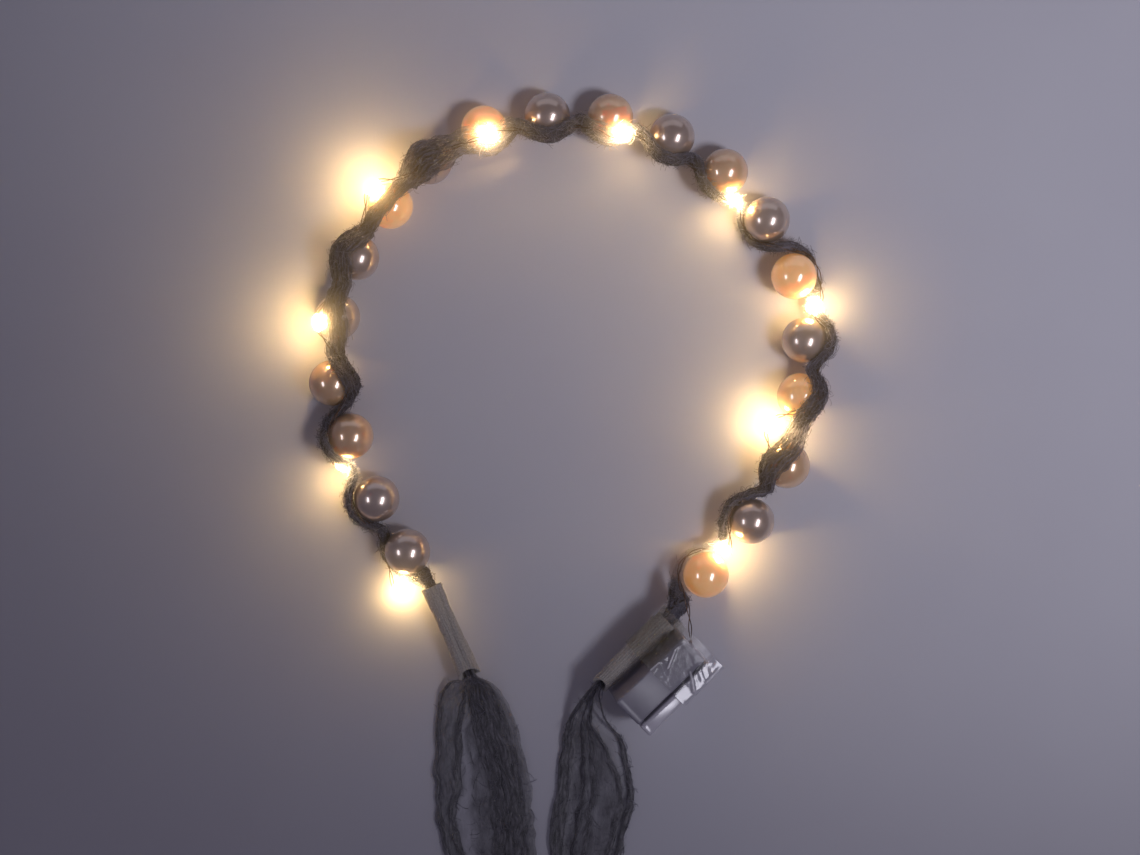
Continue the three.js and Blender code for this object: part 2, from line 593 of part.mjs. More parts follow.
// The tape goes once round the sleeve and half of the case, and hangs past the case's wired end.
const sleeveInFoot = caseFoot.worldToLocal(place(SLEEVE_RIGHT_MIDDLE));
const wrapped = [
  { y: sleeveInFoot.y, z: sleeveInFoot.z, radius: SLEEVE_RIGHT[0].halfWidth },
];
for (const y of [CASE_EDGE, caseThick - CASE_EDGE]) {
  for (const z of [CASE_EDGE, CASE_HEIGHT - CASE_EDGE]) {
    const corner = new THREE.Vector3(0, y, z).applyEuler(batteryBox.rotation);
    wrapped.push({ y: corner.y, z: corner.z, radius: CASE_EDGE });
  }
}
const tapeSection = new THREE.Shape(outlineRound(wrapped, GAP + TAPE_WALL));
tapeSection.holes.push(new THREE.Path(outlineRound(wrapped, GAP)));
const tape = new THREE.ExtrudeGeometry(tapeSection, { depth: TAPE_WIDTH, bevelEnabled: false });
tape.rotateX(Math.PI / 2).rotateZ(Math.PI / 2);
add("clear_tape", tape, materials.tape, caseFoot);

// Light string
const { route, drops } = wireRoute();
const entry = new THREE.Vector3(CASE_LENGTH / 2 + GAP, caseThick / 2 + WIRE_ENTRY.across, WIRE_ENTRY.height);
const wire = wireLine(route, batteryBox.localToWorld(entry));
add("light_wire", wireGeometry(wire, WIRE_RADIUS), materials.wire);
const leds = drops.map(({ point, direction }, i) => {
  const drop = add(numbered("led", i), dropGeometry(WIRE_RADIUS + GAP), materials.led);
  drop.position.copy(point);
  drop.quaternion.setFromUnitVectors(new THREE.Vector3(0, 1, 0), direction);
  return drop;
});

// Ribbon, with room left for the pearls and for the wire and drops that are wound into it
headband.updateMatrixWorld(true);
const rooms = [
  wireGeometry(wire, WIRE_RADIUS + GAP),
  ...pearls.map((pearl) => pearlGeometry(0, GAP).applyMatrix4(pearl.matrixWorld)),
  ...leds.map((led) => dropGeometry(0, GAP).applyMatrix4(led.matrixWorld)),
];
const ribbon = rooms.reduce((solid, room) => solid.subtract(toSolid(room)), toSolid(ribbonGeometry()));
add("ribbon_band", fromSolid(ribbon), materials.organza);
add("ribbon_tail_left", tailGeometry(TAIL_LEFT), materials.organza);
add("ribbon_tail_right", tailGeometry(TAIL_RIGHT), materials.organza);

// The origin lies on the table under the middle of the whole.
const middle = new THREE.Box3().setFromObject(headband, true).getCenter(new THREE.Vector3());
headband.position.set(-middle.x, -middle.y, 0);
const part = new THREE.Group();
part.add(headband);

export default part;
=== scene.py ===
"""Looks of the light-up pearl headband, made in Blender 4.5 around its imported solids.

The headband lies on a table and is seen from straight above, as it was photographed. Metres, +Z up.
"""

import math

import bmesh
import bpy
import numpy as np
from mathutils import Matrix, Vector, noise


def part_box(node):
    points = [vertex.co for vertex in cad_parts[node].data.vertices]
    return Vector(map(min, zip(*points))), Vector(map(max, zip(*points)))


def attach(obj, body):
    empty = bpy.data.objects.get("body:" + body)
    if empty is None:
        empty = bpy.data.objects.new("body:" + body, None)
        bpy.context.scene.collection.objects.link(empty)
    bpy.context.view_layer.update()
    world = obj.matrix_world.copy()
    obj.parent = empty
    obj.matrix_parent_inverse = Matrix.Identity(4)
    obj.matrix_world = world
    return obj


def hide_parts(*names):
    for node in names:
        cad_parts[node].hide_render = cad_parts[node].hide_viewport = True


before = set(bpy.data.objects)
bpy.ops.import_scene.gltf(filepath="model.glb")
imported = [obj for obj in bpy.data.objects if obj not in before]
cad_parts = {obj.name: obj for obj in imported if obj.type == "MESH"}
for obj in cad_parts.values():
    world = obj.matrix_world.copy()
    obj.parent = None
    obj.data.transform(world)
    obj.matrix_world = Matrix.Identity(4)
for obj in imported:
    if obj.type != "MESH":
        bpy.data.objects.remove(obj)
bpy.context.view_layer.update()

# Camera, straight above the table. The drawing that the part's source is made from has its origin in the
# middle of the photograph, so drawn() takes a place on it, in millimetres, to the part's own frame.
MM = 0.001
FIRST_PEARL = (-56.9, -43.4)  # on the drawing
PHOTO_WIDTH = 1140  # pixels
PIXEL = 0.35 * MM  # at the height of the pearls' middles
CAMERA_RISE = 0.92  # above the pearls' middles
SENSOR_WIDTH = 36
pearl_low, pearl_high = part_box("pearl_01")
PEARL_RADIUS = pearl_high.z / 2
drawing_origin = np.array((pearl_low + pearl_high) / 2) - MM * np.array((*FIRST_PEARL, 0))
drawing_origin[2] = 0


def drawn(x, y, z=0.0):
    return drawing_origin + MM * np.array((x, y, z))


camera = bpy.data.objects.new("photo_camera", bpy.data.cameras.new("photo_camera"))
camera.data.sensor_width = SENSOR_WIDTH
camera.data.lens = SENSOR_WIDTH * CAMERA_RISE / (PHOTO_WIDTH * PIXEL)
camera.location = Vector(drawn(0, 0)) + Vector((0, 0, PEARL_RADIUS + CAMERA_RISE))
bpy.context.scene.collection.objects.link(camera)
bpy.context.scene.camera = camera
bpy.context.scene.view_settings.view_transform = "Standard"


# Table: a plain pale top, faintly uneven as painted board is. The dim room leaves it grey, so that the
# light string's own pools show on it.
def linear(code):
    """An sRGB hex colour as linear red, green, blue and alpha."""
    parts = [int(code[i : i + 2], 16) / 255 for i in (1, 3, 5)]
    return (*[c / 12.92 if c <= 0.04045 else ((c + 0.055) / 1.055) ** 2.4 for c in parts], 1.0)


def add(tree, kind, inputs=None, **settings):
    """Adds a node with its settings. Each input is a value, or the output that feeds it."""
    node = tree.nodes.new(kind)
    for name, value in settings.items():
        setattr(node, name, value)
    for socket, value in (inputs or {}).items():
        if isinstance(value, bpy.types.NodeSocket):
            tree.links.new(value, node.inputs[socket])
        else:
            node.inputs[socket].default_value = value
    return node


def new_material(name):
    material = bpy.data.materials.new(name)
    material.use_nodes = True
    material.node_tree.nodes.clear()
    return material, material.node_tree


def put(name, mesh, material=None):
    """An object for that mesh, at the origin."""
    piece = bpy.data.objects.new(name, mesh)
    if material:
        mesh.materials.append(material)
    bpy.context.scene.collection.objects.link(piece)
    return piece


TABLE_SIZE = 4.0
TABLE_GAP = 0.2 * MM  # that the table lies below the part, so their faces don't share a plane
painted_board, tree = new_material("painted_board")
place = add(tree, "ShaderNodeTexCoord")
mottle = add(tree, "ShaderNodeTexNoise", {"Vector": place.outputs["Object"], "Scale": 14.0, "Detail": 3.0})
tone = add(tree, "ShaderNodeValToRGB", {"Fac": mottle.outputs["Fac"]})
tone.color_ramp.elements[0].color = linear("#d1d0d8")
tone.color_ramp.elements[1].color = linear("#d9d9df")
board = add(tree, "ShaderNodeBsdfPrincipled", {"Base Color": tone.outputs["Color"], "Roughness": 0.75})
add(tree, "ShaderNodeOutputMaterial", {"Surface": board.outputs["BSDF"]})
table_mesh = bpy.data.meshes.new("table")
half = TABLE_SIZE / 2
corners = [(-half, -half, 0), (half, -half, 0), (half, half, 0), (-half, half, 0)]
table_mesh.from_pydata(corners, [], [(0, 1, 2, 3)])
table = put("table", table_mesh, painted_board)
table.location.z = -TABLE_GAP

# Room light: a wide wash from the right lights that side of the table more and throws the shadows to the
# left. Two soft panels, on the right and the left, and a pale wall beyond the band's top mirror in the
# pearls.
LIGHT_REACH = 1.5
PANELS = [
    {"name": "panel_right", "tilt": 30.7, "azimuth": -17, "size": (0.88, 0.38), "power": 6.0},
    {"name": "panel_left", "tilt": 44.0, "azimuth": 186, "size": (0.52, 0.24), "power": 2.0},
    {"name": "pale_wall", "tilt": 72.0, "azimuth": 90, "size": (2.6, 0.9), "power": 2.2},
]
COOL_WHITE = linear("#f4f2ff")[:3]
WASH_PLACE = (0.54, -0.16, 0.96)
WASH_AIM = (0.22, 0.21, 0)
WASH_POWER = 18.4
WASH_ANGLE = math.radians(51)
WASH_SOFTNESS = 0.12
ROOM_STRENGTH = 0.32


def hang(name, kind, place, aim, power):
    """A light at a place, turned to an aim."""
    light = bpy.data.lights.new(name, kind)
    light.energy = power
    light.color = COOL_WHITE
    lamp = bpy.data.objects.new(name, light)
    lamp.location = place
    lamp.rotation_euler = (Vector(place) - Vector(aim)).to_track_quat("Z", "Y").to_euler()
    bpy.context.scene.collection.objects.link(lamp)
    return lamp


for row in PANELS:
    tilt, azimuth = math.radians(row["tilt"]), math.radians(row["azimuth"])
    way = Vector((math.sin(tilt) * math.cos(azimuth), math.sin(tilt) * math.sin(azimuth), math.cos(tilt)))
    lamp = hang(row["name"], "AREA", way * LIGHT_REACH, (0, 0, 0), row["power"])
    lamp.data.shape = "RECTANGLE"
    lamp.data.size, lamp.data.size_y = row["size"]
    lamp.visible_diffuse = False
wash = hang("wash", "SPOT", WASH_PLACE, WASH_AIM, WASH_POWER)
wash.data.spot_size = WASH_ANGLE
wash.data.spot_blend = 1.0
wash.data.shadow_soft_size = WASH_SOFTNESS
wash.visible_glossy = False
room = bpy.data.worlds.new("dim_room")
room.use_nodes = True
sky = room.node_tree.nodes["Background"]
sky.inputs["Color"].default_value = linear("#8f8aa0")
sky.inputs["Strength"].default_value = ROOM_STRENGTH
bpy.context.scene.world = room


# Pearls: moulded acrylic balls with a pearl-essence lacquer, each drilled through. The hole lies along the
# band, and across it on one pearl, where it shows. Some are peach, others taupe. Some peach ones have a
# drop against their hole and are lit from inside; that light is painted on them as a paler peach lacquer
# with a faint warm glow.
PEARL_COUNT = 20
PEARL_BORE = 0.9 * MM  # radius
BORE_WAIST = 0.85  # of that radius, inside the pearl
BORE_MOUTH = 0.3 * MM  # depth over which the bore narrows to its waist
WELD_NEAR = 0.001 * MM
PEARL_SIDES = 64
PEARL_STEPS = 44
DRILLED_ACROSS = 4
ACROSS_TURN = math.radians(205)
PEACH_PEARLS = {3, 4, 7, 9, 11, 13, 15, 17, 18, 20}
PEARLS_WITH_PAINTED_GLOW = {7, 9, 15, 17, 20}
UP = np.array((0.0, 0.0, 1.0))
RIBBON_START = [
    {"place": (-46.9, -59.2, 7.3), "width": 3.6, "thick": 3.0},
    {"place": (-48.9, -55.0, 7.4), "width": 3.8, "thick": 3.2},
    {"place": (-51.4, -51.4, 7.6), "width": 5.6, "thick": 4.6},
]
RIBBON_FINISH = [
    {"place": (38.6, -61.0, 12.6), "width": 7.4, "thick": 6.4},
    {"place": (34.6, -66.2, 14.3), "width": 5.0, "thick": 5.0},
    {"place": (30.9, -69.8, 14.5), "width": 4.4, "thick": 4.4},
]


def middle_of(node):
    low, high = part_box(node)
    return np.array((low + high) / 2)


def unit(vector):
    return vector / np.linalg.norm(vector)


def smooth_line(points, at):
    """Points of the centripetal Catmull-Rom curve through points, at fractions of their numbers."""
    points = np.asarray(points, float)
    all_points = np.vstack([2 * points[0] - points[1], points, 2 * points[-1] - points[-2]])
    line = []
    for number in at:
        i = min(max(int(number), 0), len(points) - 2)
        share = number - i
        p = all_points[i : i + 4]
        gap = np.sqrt(np.maximum(np.linalg.norm(np.diff(p, axis=0), axis=1), 1e-9))
        step = p[2] - p[1]
        leaving = (p[1] - p[0]) / gap[0] - (p[2] - p[0]) / (gap[0] + gap[1]) + step / gap[1]
        coming = step / gap[1] - (p[3] - p[1]) / (gap[1] + gap[2]) + (p[3] - p[2]) / gap[2]
        a, b = leaving * gap[1], coming * gap[1]
        line.append(p[1] + share * a + share**2 * (3 * step - 2 * a - b) + share**3 * (a + b - 2 * step))
    return np.array(line)


pearl_middles = [middle_of(f"pearl_{i:02d}") for i in range(1, PEARL_COUNT + 1)]
band_points = [
    *[drawn(*row["place"]) for row in RIBBON_START],
    *pearl_middles,
    *[drawn(*row["place"]) for row in RIBBON_FINISH],
]
first_pearl = len(RIBBON_START)


def band_forward(number):
    behind, ahead = smooth_line(band_points, (number - 0.01, number + 0.01))
    return unit(ahead - behind)


def face_outwards(mesh, welded=False):
    """Turns a closed mesh's faces outwards. A welded one first has its doubled points merged."""
    shell = bmesh.new()
    shell.from_mesh(mesh)
    if welded:
        bmesh.ops.remove_doubles(shell, verts=shell.verts, dist=WELD_NEAR)
    bmesh.ops.recalc_face_normals(shell, faces=shell.faces)
    shell.to_mesh(mesh)
    shell.free()


def grid_piece(name, points, material, wraps=False, capped=False):
    """A piece of quads over rows of points, with a UV map in metres: U across the rows, V along them."""
    rows, columns = points.shape[:2]
    row, column = np.meshgrid(np.arange(rows - 1), np.arange(columns - (not wraps)), indexing="ij")
    corner_rows = np.stack([row, row, row + 1, row + 1], -1).reshape(-1, 4)
    corner_columns = np.stack([column, column + 1, column + 1, column], -1).reshape(-1, 4)
    faces = (corner_rows * columns + corner_columns % columns).tolist()
    ring = np.concatenate([points, points[:, :1]], 1) if wraps else points
    across = np.linalg.norm(np.diff(ring, axis=1), axis=2).mean(0)
    along = np.linalg.norm(np.diff(points, axis=0), axis=2).mean(1)
    u = np.concatenate([[0], np.cumsum(across)])
    v = np.concatenate([[0], np.cumsum(along)])
    flat = np.stack([u[corner_columns], v[corner_rows]], -1).reshape(-1, 2)
    if capped:
        faces += [list(range(columns)), list(range((rows - 1) * columns, rows * columns))]
        flat = np.vstack([flat, np.zeros((2 * columns, 2))])
    mesh = bpy.data.meshes.new(name)
    mesh.from_pydata(points.reshape(-1, 3).tolist(), [], faces)
    mesh.uv_layers.new(name="flat").data.foreach_set("uv", flat.ravel())
    if wraps:
        face_outwards(mesh)
    mesh.shade_smooth()
    return put(name, mesh, material)


def turned(profile, sides, middle, axis):
    """Rows of points of a profile of (radius, height) pairs, turned about an axis through a middle."""
    side = unit(np.cross(axis, UP if abs(axis[2]) < 0.9 else (1, 0, 0)))
    other = np.cross(axis, side)
    angles = np.linspace(0, 2 * math.pi, sides, endpoint=False)
    round_about = np.outer(np.cos(angles), side) + np.outer(np.sin(angles), other)
    rings = [middle + radius * round_about + height * np.asarray(axis) for radius, height in profile]
    return np.array(rings)


def pearl_lacquer(name, body, deep, mirror, glow, lit=0.0):
    """Pearl lacquer on acrylic: a soft mirror of fine flakes that lets some light in, under a gloss."""
    material, tree = new_material(name)
    place = add(tree, "ShaderNodeTexCoord")
    cloud = add(tree, "ShaderNodeTexNoise", {
        "Vector": place.outputs["Object"], "Scale": 160.0, "Detail": 2.0,
    })
    tone = add(tree, "ShaderNodeValToRGB", {"Fac": cloud.outputs["Fac"]})
    tone.color_ramp.elements[0].position = 0.3
    tone.color_ramp.elements[0].color = linear(deep)
    tone.color_ramp.elements[1].position = 0.7
    tone.color_ramp.elements[1].color = linear(body)
    lacquer = add(tree, "ShaderNodeBsdfPrincipled", {
        "Base Color": tone.outputs["Color"],
        "Metallic": mirror,
        "Roughness": 0.28,
        "IOR": 1.5,
        "Subsurface Weight": glow,
        "Subsurface Radius": (1.0, 0.92, 0.8),
        "Subsurface Scale": 5 * MM,
        "Coat Weight": 1.0,
        "Coat Roughness": 0.05,
        "Coat IOR": 2.3,
        "Emission Color": linear("#ffb15c"),
        # lit is a painted glow: a drop's light inside the pearl, given as emission
        "Emission Strength": lit,
    })
    add(tree, "ShaderNodeOutputMaterial", {"Surface": lacquer.outputs["BSDF"]})
    return material


taupe_pearl = pearl_lacquer("pearl_lacquer_taupe", "#d6c1b2", "#c2a896", 0.6, 0.2)
peach_pearl = pearl_lacquer("pearl_lacquer_peach", "#f6cfa6", "#eebd8c", 0.3, 0.7)
# a paler copy of the peach lacquer with a warm glow: painted light from the drop inside
pearl_with_painted_glow = pearl_lacquer("pearl_lacquer_peach_painted_glow", "#fbd5a6", "#f5c68f", 0.1, 0.9, 0.3)
hole_start = math.asin(PEARL_BORE / PEARL_RADIUS)
steps = np.linspace(hole_start, math.pi - hole_start, PEARL_STEPS + 1)
ball = [(PEARL_RADIUS * math.sin(a), -PEARL_RADIUS * math.cos(a)) for a in steps]
waist = BORE_WAIST * PEARL_BORE
bore = [(waist, ball[-1][1] - BORE_MOUTH), (waist, ball[0][1] + BORE_MOUTH), ball[0]]
for number, middle in enumerate(pearl_middles, 1):
    axis = band_forward(first_pearl + number - 1) * (1, 1, 0)
    if number == DRILLED_ACROSS:
        axis = np.array((math.cos(ACROSS_TURN), math.sin(ACROSS_TURN), 0))
    peach = number in PEACH_PEARLS
    lacquer = pearl_with_painted_glow if number in PEARLS_WITH_PAINTED_GLOW else peach_pearl if peach else taupe_pearl
    rings = turned(ball + bore, PEARL_SIDES, middle, unit(axis))
    pearl = grid_piece(f"bead_{number:02d}", rings, lacquer, wraps=True)
    face_outwards(pearl.data, welded=True)
    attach(pearl, "root")
    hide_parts(f"pearl_{number:02d}")

# Light string: two fine strands of lacquered copper wire twisted together, wound over the pearls and on to
# the battery case, with a drop of clear resin cast over each LED.
WIRE_RADIUS = 0.35 * MM  # of both strands together
STRAND_RADIUS = 0.17 * MM
STRAND_APART = 0.5 * MM  # from the pair's middle, as it is loosely twisted
STRAND_TURN = 15 * MM  # length of one full twist
STRAND_STEP = 1.1 * MM
WIRE_CLEAR = 0.3 * MM + WIRE_RADIUS + 0.25 * MM  # from a pearl to the wire's line
PINCH_WIDTH = 4.4  # mm, of the ribbon between two pearls
WIRE_STEP = 4.4 * MM
WIRE_PASSES = 6
WIRE_PULL = 0.4
WIRE_SIDES_OF_PEARLS = [  # degrees: 0 towards the head, 90 up, 180 outwards
    212, 165, 155, 40, 135, 125, 145, 90, 68, 38, 60, 30, 25, 5, 190, 165, 130, 55, 12, 12,
]
LAST_SLACK = 3 * MM  # of the wire's loose loop round the last pearl
LED_AT = [0.5, 2.5, 5, 7, 9, 11, 13.5, 15.5, 17.5, 19.5]  # the pearl, or a half between two
LED_LENGTH = 6 * MM
LED_RADIUS = 1.7 * MM
LED_LEAD = 0.5 * MM  # of straight wire past each end of a drop
LAST_LED_SINK = 2.6 * MM  # that the last drop hangs lower, behind its pearl
WIRE_LEAD = [
    (36.0, -50.5, 11.5), (38.0, -56.6, 15.4), (42.6, -62.0, 15.8),
    (41.0, -68.6, 16.4), (42.2, -72.0, 16.6),
]
CASE_PLACE = (36.0, -92.0, 0.9)
CASE_TURN = math.radians(44)
CASE_LEAN = math.radians(10)
CASE_LENGTH = 32.0
CASE_THICK = 17.5
WIRE_ENTRY = (CASE_LENGTH / 2 + 0.3, CASE_THICK / 2 + 3.0, 17.0)


def sideways(number, degrees):
    headward = unit(np.cross(band_forward(number), UP))
    angle = math.radians(degrees)
    return headward * math.cos(angle) + UP * math.sin(angle)


def clear_of_pearls(point, clear, floor=0.0):
    """The point, moved out of every pearl until it is clear of it by that much, and up to the table."""
    for middle in pearl_middles:
        away = point - middle
        if np.dot(away, away) < (PEARL_RADIUS + clear) ** 2:
            point = middle + unit(away) * (PEARL_RADIUS + clear)
    return np.array((point[0], point[1], max(point[2], floor)))


def swung(a, b, angle):
    """Two coordinates turned together by an angle."""
    return a * math.cos(angle) - b * math.sin(angle), a * math.sin(angle) + b * math.cos(angle)


def case_point(x, y, z, leans=True):
    """A place on the battery case, in millimetres along it, back from its lid's face, and up it."""
    y, z = swung(y, z, CASE_LEAN if leans else 0)
    x, y = swung(x, y, CASE_TURN)
    return drawn(*CASE_PLACE) + MM * np.array((x, y, z))


def wire_stops():
    """The wire's stops from its free end: past each pearl, through each drop, and over each gap."""
    stops = []
    for key in np.arange(0.5, PEARL_COUNT + 0.5, 0.5):
        before = int(key) - 1
        if key in LED_AT:
            led = LED_AT.index(key) + 1
            sink = LAST_LED_SINK if led == len(LED_AT) else 0
            stops.append((middle_of(f"led_{led:02d}") - sink * UP, True))
        elif key == int(key):
            stand = PEARL_RADIUS + WIRE_CLEAR + (LAST_SLACK if key == PEARL_COUNT else 0)
            way = sideways(first_pearl + before, WIRE_SIDES_OF_PEARLS[before])
            stops.append((pearl_middles[before] + stand * way, False))
        else:
            gap_middle = (pearl_middles[before] + pearl_middles[before + 1]) / 2
            turn = (WIRE_SIDES_OF_PEARLS[before] + WIRE_SIDES_OF_PEARLS[before + 1]) / 2
            way = sideways(first_pearl + before + 0.5, turn)
            stops.append((gap_middle + (PINCH_WIDTH / 2 * MM + WIRE_CLEAR) * way, False))
    return stops + [(drawn(*row), False) for row in WIRE_LEAD]


wire_route, drops = [], []
stops = wire_stops()
for i, (point, is_drop) in enumerate(stops):
    if not is_drop:
        wire_route.append((point, False))
        continue
    ahead = stops[i + 1][0]
    behind = stops[i - 1][0] if i else 1.5 * point - 0.5 * ahead
    direction = unit(ahead - behind)
    near = [m for m in pearl_middles if np.linalg.norm(m - point) < PEARL_RADIUS + LED_LENGTH]
    if near:
        outward = unit(point - near[0])
        direction = unit(direction - np.dot(direction, outward) * outward)
    drops.append((point, direction))
    reach = LED_LENGTH / 2 + LED_LEAD
    for s in (-reach if i else -LED_LENGTH / 2, 0, reach):
        wire_route.append((point + s * direction, True))
wire_route.append((case_point(*WIRE_ENTRY), True))
wire_line, wire_held = [], []
for i in range(len(wire_route) - 1):
    (here, held), (there, held_next) = wire_route[i], wire_route[i + 1]
    pieces = 1 if held and held_next else math.ceil(np.linalg.norm(there - here) / WIRE_STEP)
    at = [i + k / pieces for k in range(pieces)]
    wire_line += list(smooth_line([p for p, _ in wire_route], at))
    wire_held += [held] + [False] * (pieces - 1)
wire_line.append(wire_route[-1][0])
wire_held.append(True)
for _ in range(WIRE_PASSES):
    for i in range(1, len(wire_line) - 1):
        if not wire_held[i]:
            level = (wire_line[i - 1] + wire_line[i + 1]) / 2
            pulled = wire_line[i] + WIRE_PULL * (level - wire_line[i])
            wire_line[i] = clear_of_pearls(pulled, WIRE_CLEAR, WIRE_RADIUS)

# Lacquered copper: warm brown-red metal with a clear varnish, so it is dark with bright glints.
lacquered_copper, tree = new_material("lacquered_copper")
place = add(tree, "ShaderNodeTexCoord")
stain = add(tree, "ShaderNodeTexNoise", {"Vector": place.outputs["Object"], "Scale": 220.0})
tone = add(tree, "ShaderNodeValToRGB", {"Fac": stain.outputs["Fac"]})
tone.color_ramp.elements[0].color = linear("#3b2a22")
tone.color_ramp.elements[1].color = linear("#6d4c3a")
copper = add(tree, "ShaderNodeBsdfPrincipled", {
    "Base Color": tone.outputs["Color"], "Metallic": 1.0, "Roughness": 0.32, "Coat Weight": 0.6,
})
add(tree, "ShaderNodeOutputMaterial", {"Surface": copper.outputs["BSDF"]})


def new_group(name, inputs):
    """A tree of geometry nodes that takes a mesh and named inputs, with its input node and sockets."""
    group = bpy.data.node_groups.new(name, "GeometryNodeTree")
    group.interface.new_socket("Geometry", in_out="INPUT", socket_type="NodeSocketGeometry")
    sockets = {
        title: group.interface.new_socket(title, in_out="INPUT", socket_type=kind)
        for title, kind in inputs.items()
    }
    group.interface.new_socket("Geometry", in_out="OUTPUT", socket_type="NodeSocketGeometry")
    return group, add(group, "NodeGroupInput"), sockets


twisted_pair, given, pair_sockets = new_group("twisted_pair", {
    "Strand radius": "NodeSocketFloat",
    "Strand offset": "NodeSocketFloat",
    "Length of a twist": "NodeSocketFloat",
})
route = add(twisted_pair, "GeometryNodeMeshToCurve", {"Mesh": given.outputs["Geometry"]})
fine = add(twisted_pair, "GeometryNodeResampleCurve", {
    "Curve": route.outputs["Curve"], "Length": STRAND_STEP,
}, mode="LENGTH")
along = add(twisted_pair, "GeometryNodeSplineParameter")
normal = add(twisted_pair, "GeometryNodeInputNormal")
tangent = add(twisted_pair, "GeometryNodeInputTangent")
binormal = add(twisted_pair, "ShaderNodeVectorMath", {
    0: tangent.outputs[0], 1: normal.outputs[0],
}, operation="CROSS_PRODUCT")
turns = add(twisted_pair, "ShaderNodeMath", {
    0: along.outputs["Length"], 1: given.outputs["Length of a twist"],
}, operation="DIVIDE")
angle = add(twisted_pair, "ShaderNodeMath", {0: turns.outputs[0], 1: 2 * math.pi}, operation="MULTIPLY")
cosine = add(twisted_pair, "ShaderNodeMath", {0: angle.outputs[0]}, operation="COSINE")
sine = add(twisted_pair, "ShaderNodeMath", {0: angle.outputs[0]}, operation="SINE")
over = add(twisted_pair, "ShaderNodeVectorMath", {
    0: normal.outputs[0], "Scale": cosine.outputs[0],
}, operation="SCALE")
beside = add(twisted_pair, "ShaderNodeVectorMath", {
    0: binormal.outputs[0], "Scale": sine.outputs[0],
}, operation="SCALE")
way = add(twisted_pair, "ShaderNodeVectorMath", {
    0: over.outputs[0], 1: beside.outputs[0],
}, operation="ADD")
section = add(twisted_pair, "GeometryNodeCurvePrimitiveCircle", {
    "Resolution": 6, "Radius": given.outputs["Strand radius"],
})
both = add(twisted_pair, "GeometryNodeJoinGeometry")
for side in (1, -1):
    signed = add(twisted_pair, "ShaderNodeMath", {
        0: given.outputs["Strand offset"], 1: side,
    }, operation="MULTIPLY")
    offset = add(twisted_pair, "ShaderNodeVectorMath", {
        0: way.outputs[0], "Scale": signed.outputs[0],
    }, operation="SCALE")
    moved = add(twisted_pair, "GeometryNodeSetPosition", {
        "Geometry": fine.outputs["Curve"], "Offset": offset.outputs[0],
    })
    strand = add(twisted_pair, "GeometryNodeCurveToMesh", {
        "Curve": moved.outputs["Geometry"], "Profile Curve": section.outputs["Curve"], "Fill Caps": True,
    })
    twisted_pair.links.new(strand.outputs["Mesh"], both.inputs["Geometry"])
whole = add(twisted_pair, "GeometryNodeRealizeInstances", {"Geometry": both.outputs["Geometry"]})
coated = add(twisted_pair, "GeometryNodeSetMaterial", {
    "Geometry": whole.outputs["Geometry"], "Material": lacquered_copper,
})
add(twisted_pair, "NodeGroupOutput", {"Geometry": coated.outputs["Geometry"]})


def made_by_nodes(name, source, group, values):
    """A plain mesh piece of what a tree of geometry nodes makes from a mesh, with its inputs set."""
    carrier = put(name + "_carrier", source)
    modifier = carrier.modifiers.new(group.name, "NODES")
    modifier.node_group = group
    for socket, value in values.items():
        modifier[socket.identifier] = value
    evaluated = carrier.evaluated_get(bpy.context.evaluated_depsgraph_get())
    mesh = bpy.data.meshes.new_from_object(evaluated)
    bpy.data.objects.remove(carrier)
    mesh.shade_smooth()
    return put(name, mesh)


wire_mesh = bpy.data.meshes.new("wire_route")
wire_mesh.from_pydata([p.tolist() for p in wire_line], [(i, i + 1) for i in range(len(wire_line) - 1)], [])
wire = made_by_nodes("wire_pair", wire_mesh, twisted_pair, {
    pair_sockets["Strand radius"]: STRAND_RADIUS,
    pair_sockets["Strand offset"]: STRAND_APART,
    pair_sockets["Length of a twist"]: STRAND_TURN,
})
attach(wire, "root")
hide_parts("light_wire")

# Lit resin: each drop of clear resin glows all over from the LED cast inside it, some more than others.
LED_SIDES = 20
LED_STEPS = 14
DROP_FULL = 2.6  # two powers that give a drop its full middle and blunt ends
DROP_BLUNT = 0.6
LED_GLOW = 120.0
DROP_POWERS = [0.55, 1.5, 1.2, 1.3, 1.15, 1.1, 0.9, 1.15, 0.95, 0.65]  # as LEDs on one string differ


def lit_resin(number):
    material, tree = new_material(f"lit_clear_resin_{number:02d}")
    resin = add(tree, "ShaderNodeBsdfPrincipled", {
        "Base Color": linear("#fff2d4"),
        "Roughness": 0.12,
        "IOR": 1.52,
        "Emission Color": linear("#ffd38c"),
        "Emission Strength": LED_GLOW * DROP_POWERS[number - 1],
    })
    add(tree, "ShaderNodeOutputMaterial", {"Surface": resin.outputs["BSDF"]})
    return material


for number, (point, direction) in enumerate(drops, 1):
    heights = -np.cos(np.linspace(0, math.pi, LED_STEPS))
    profile = [
        (max(LED_RADIUS * (1 - abs(h) ** DROP_FULL) ** DROP_BLUNT, WIRE_RADIUS), h * LED_LENGTH / 2)
        for h in heights
    ]
    rings = turned(profile, LED_SIDES, point, direction)
    drop = grid_piece(f"drop_{number:02d}", rings, lit_resin(number), wraps=True, capped=True)
    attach(drop, "root")
    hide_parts(f"led_{number:02d}")

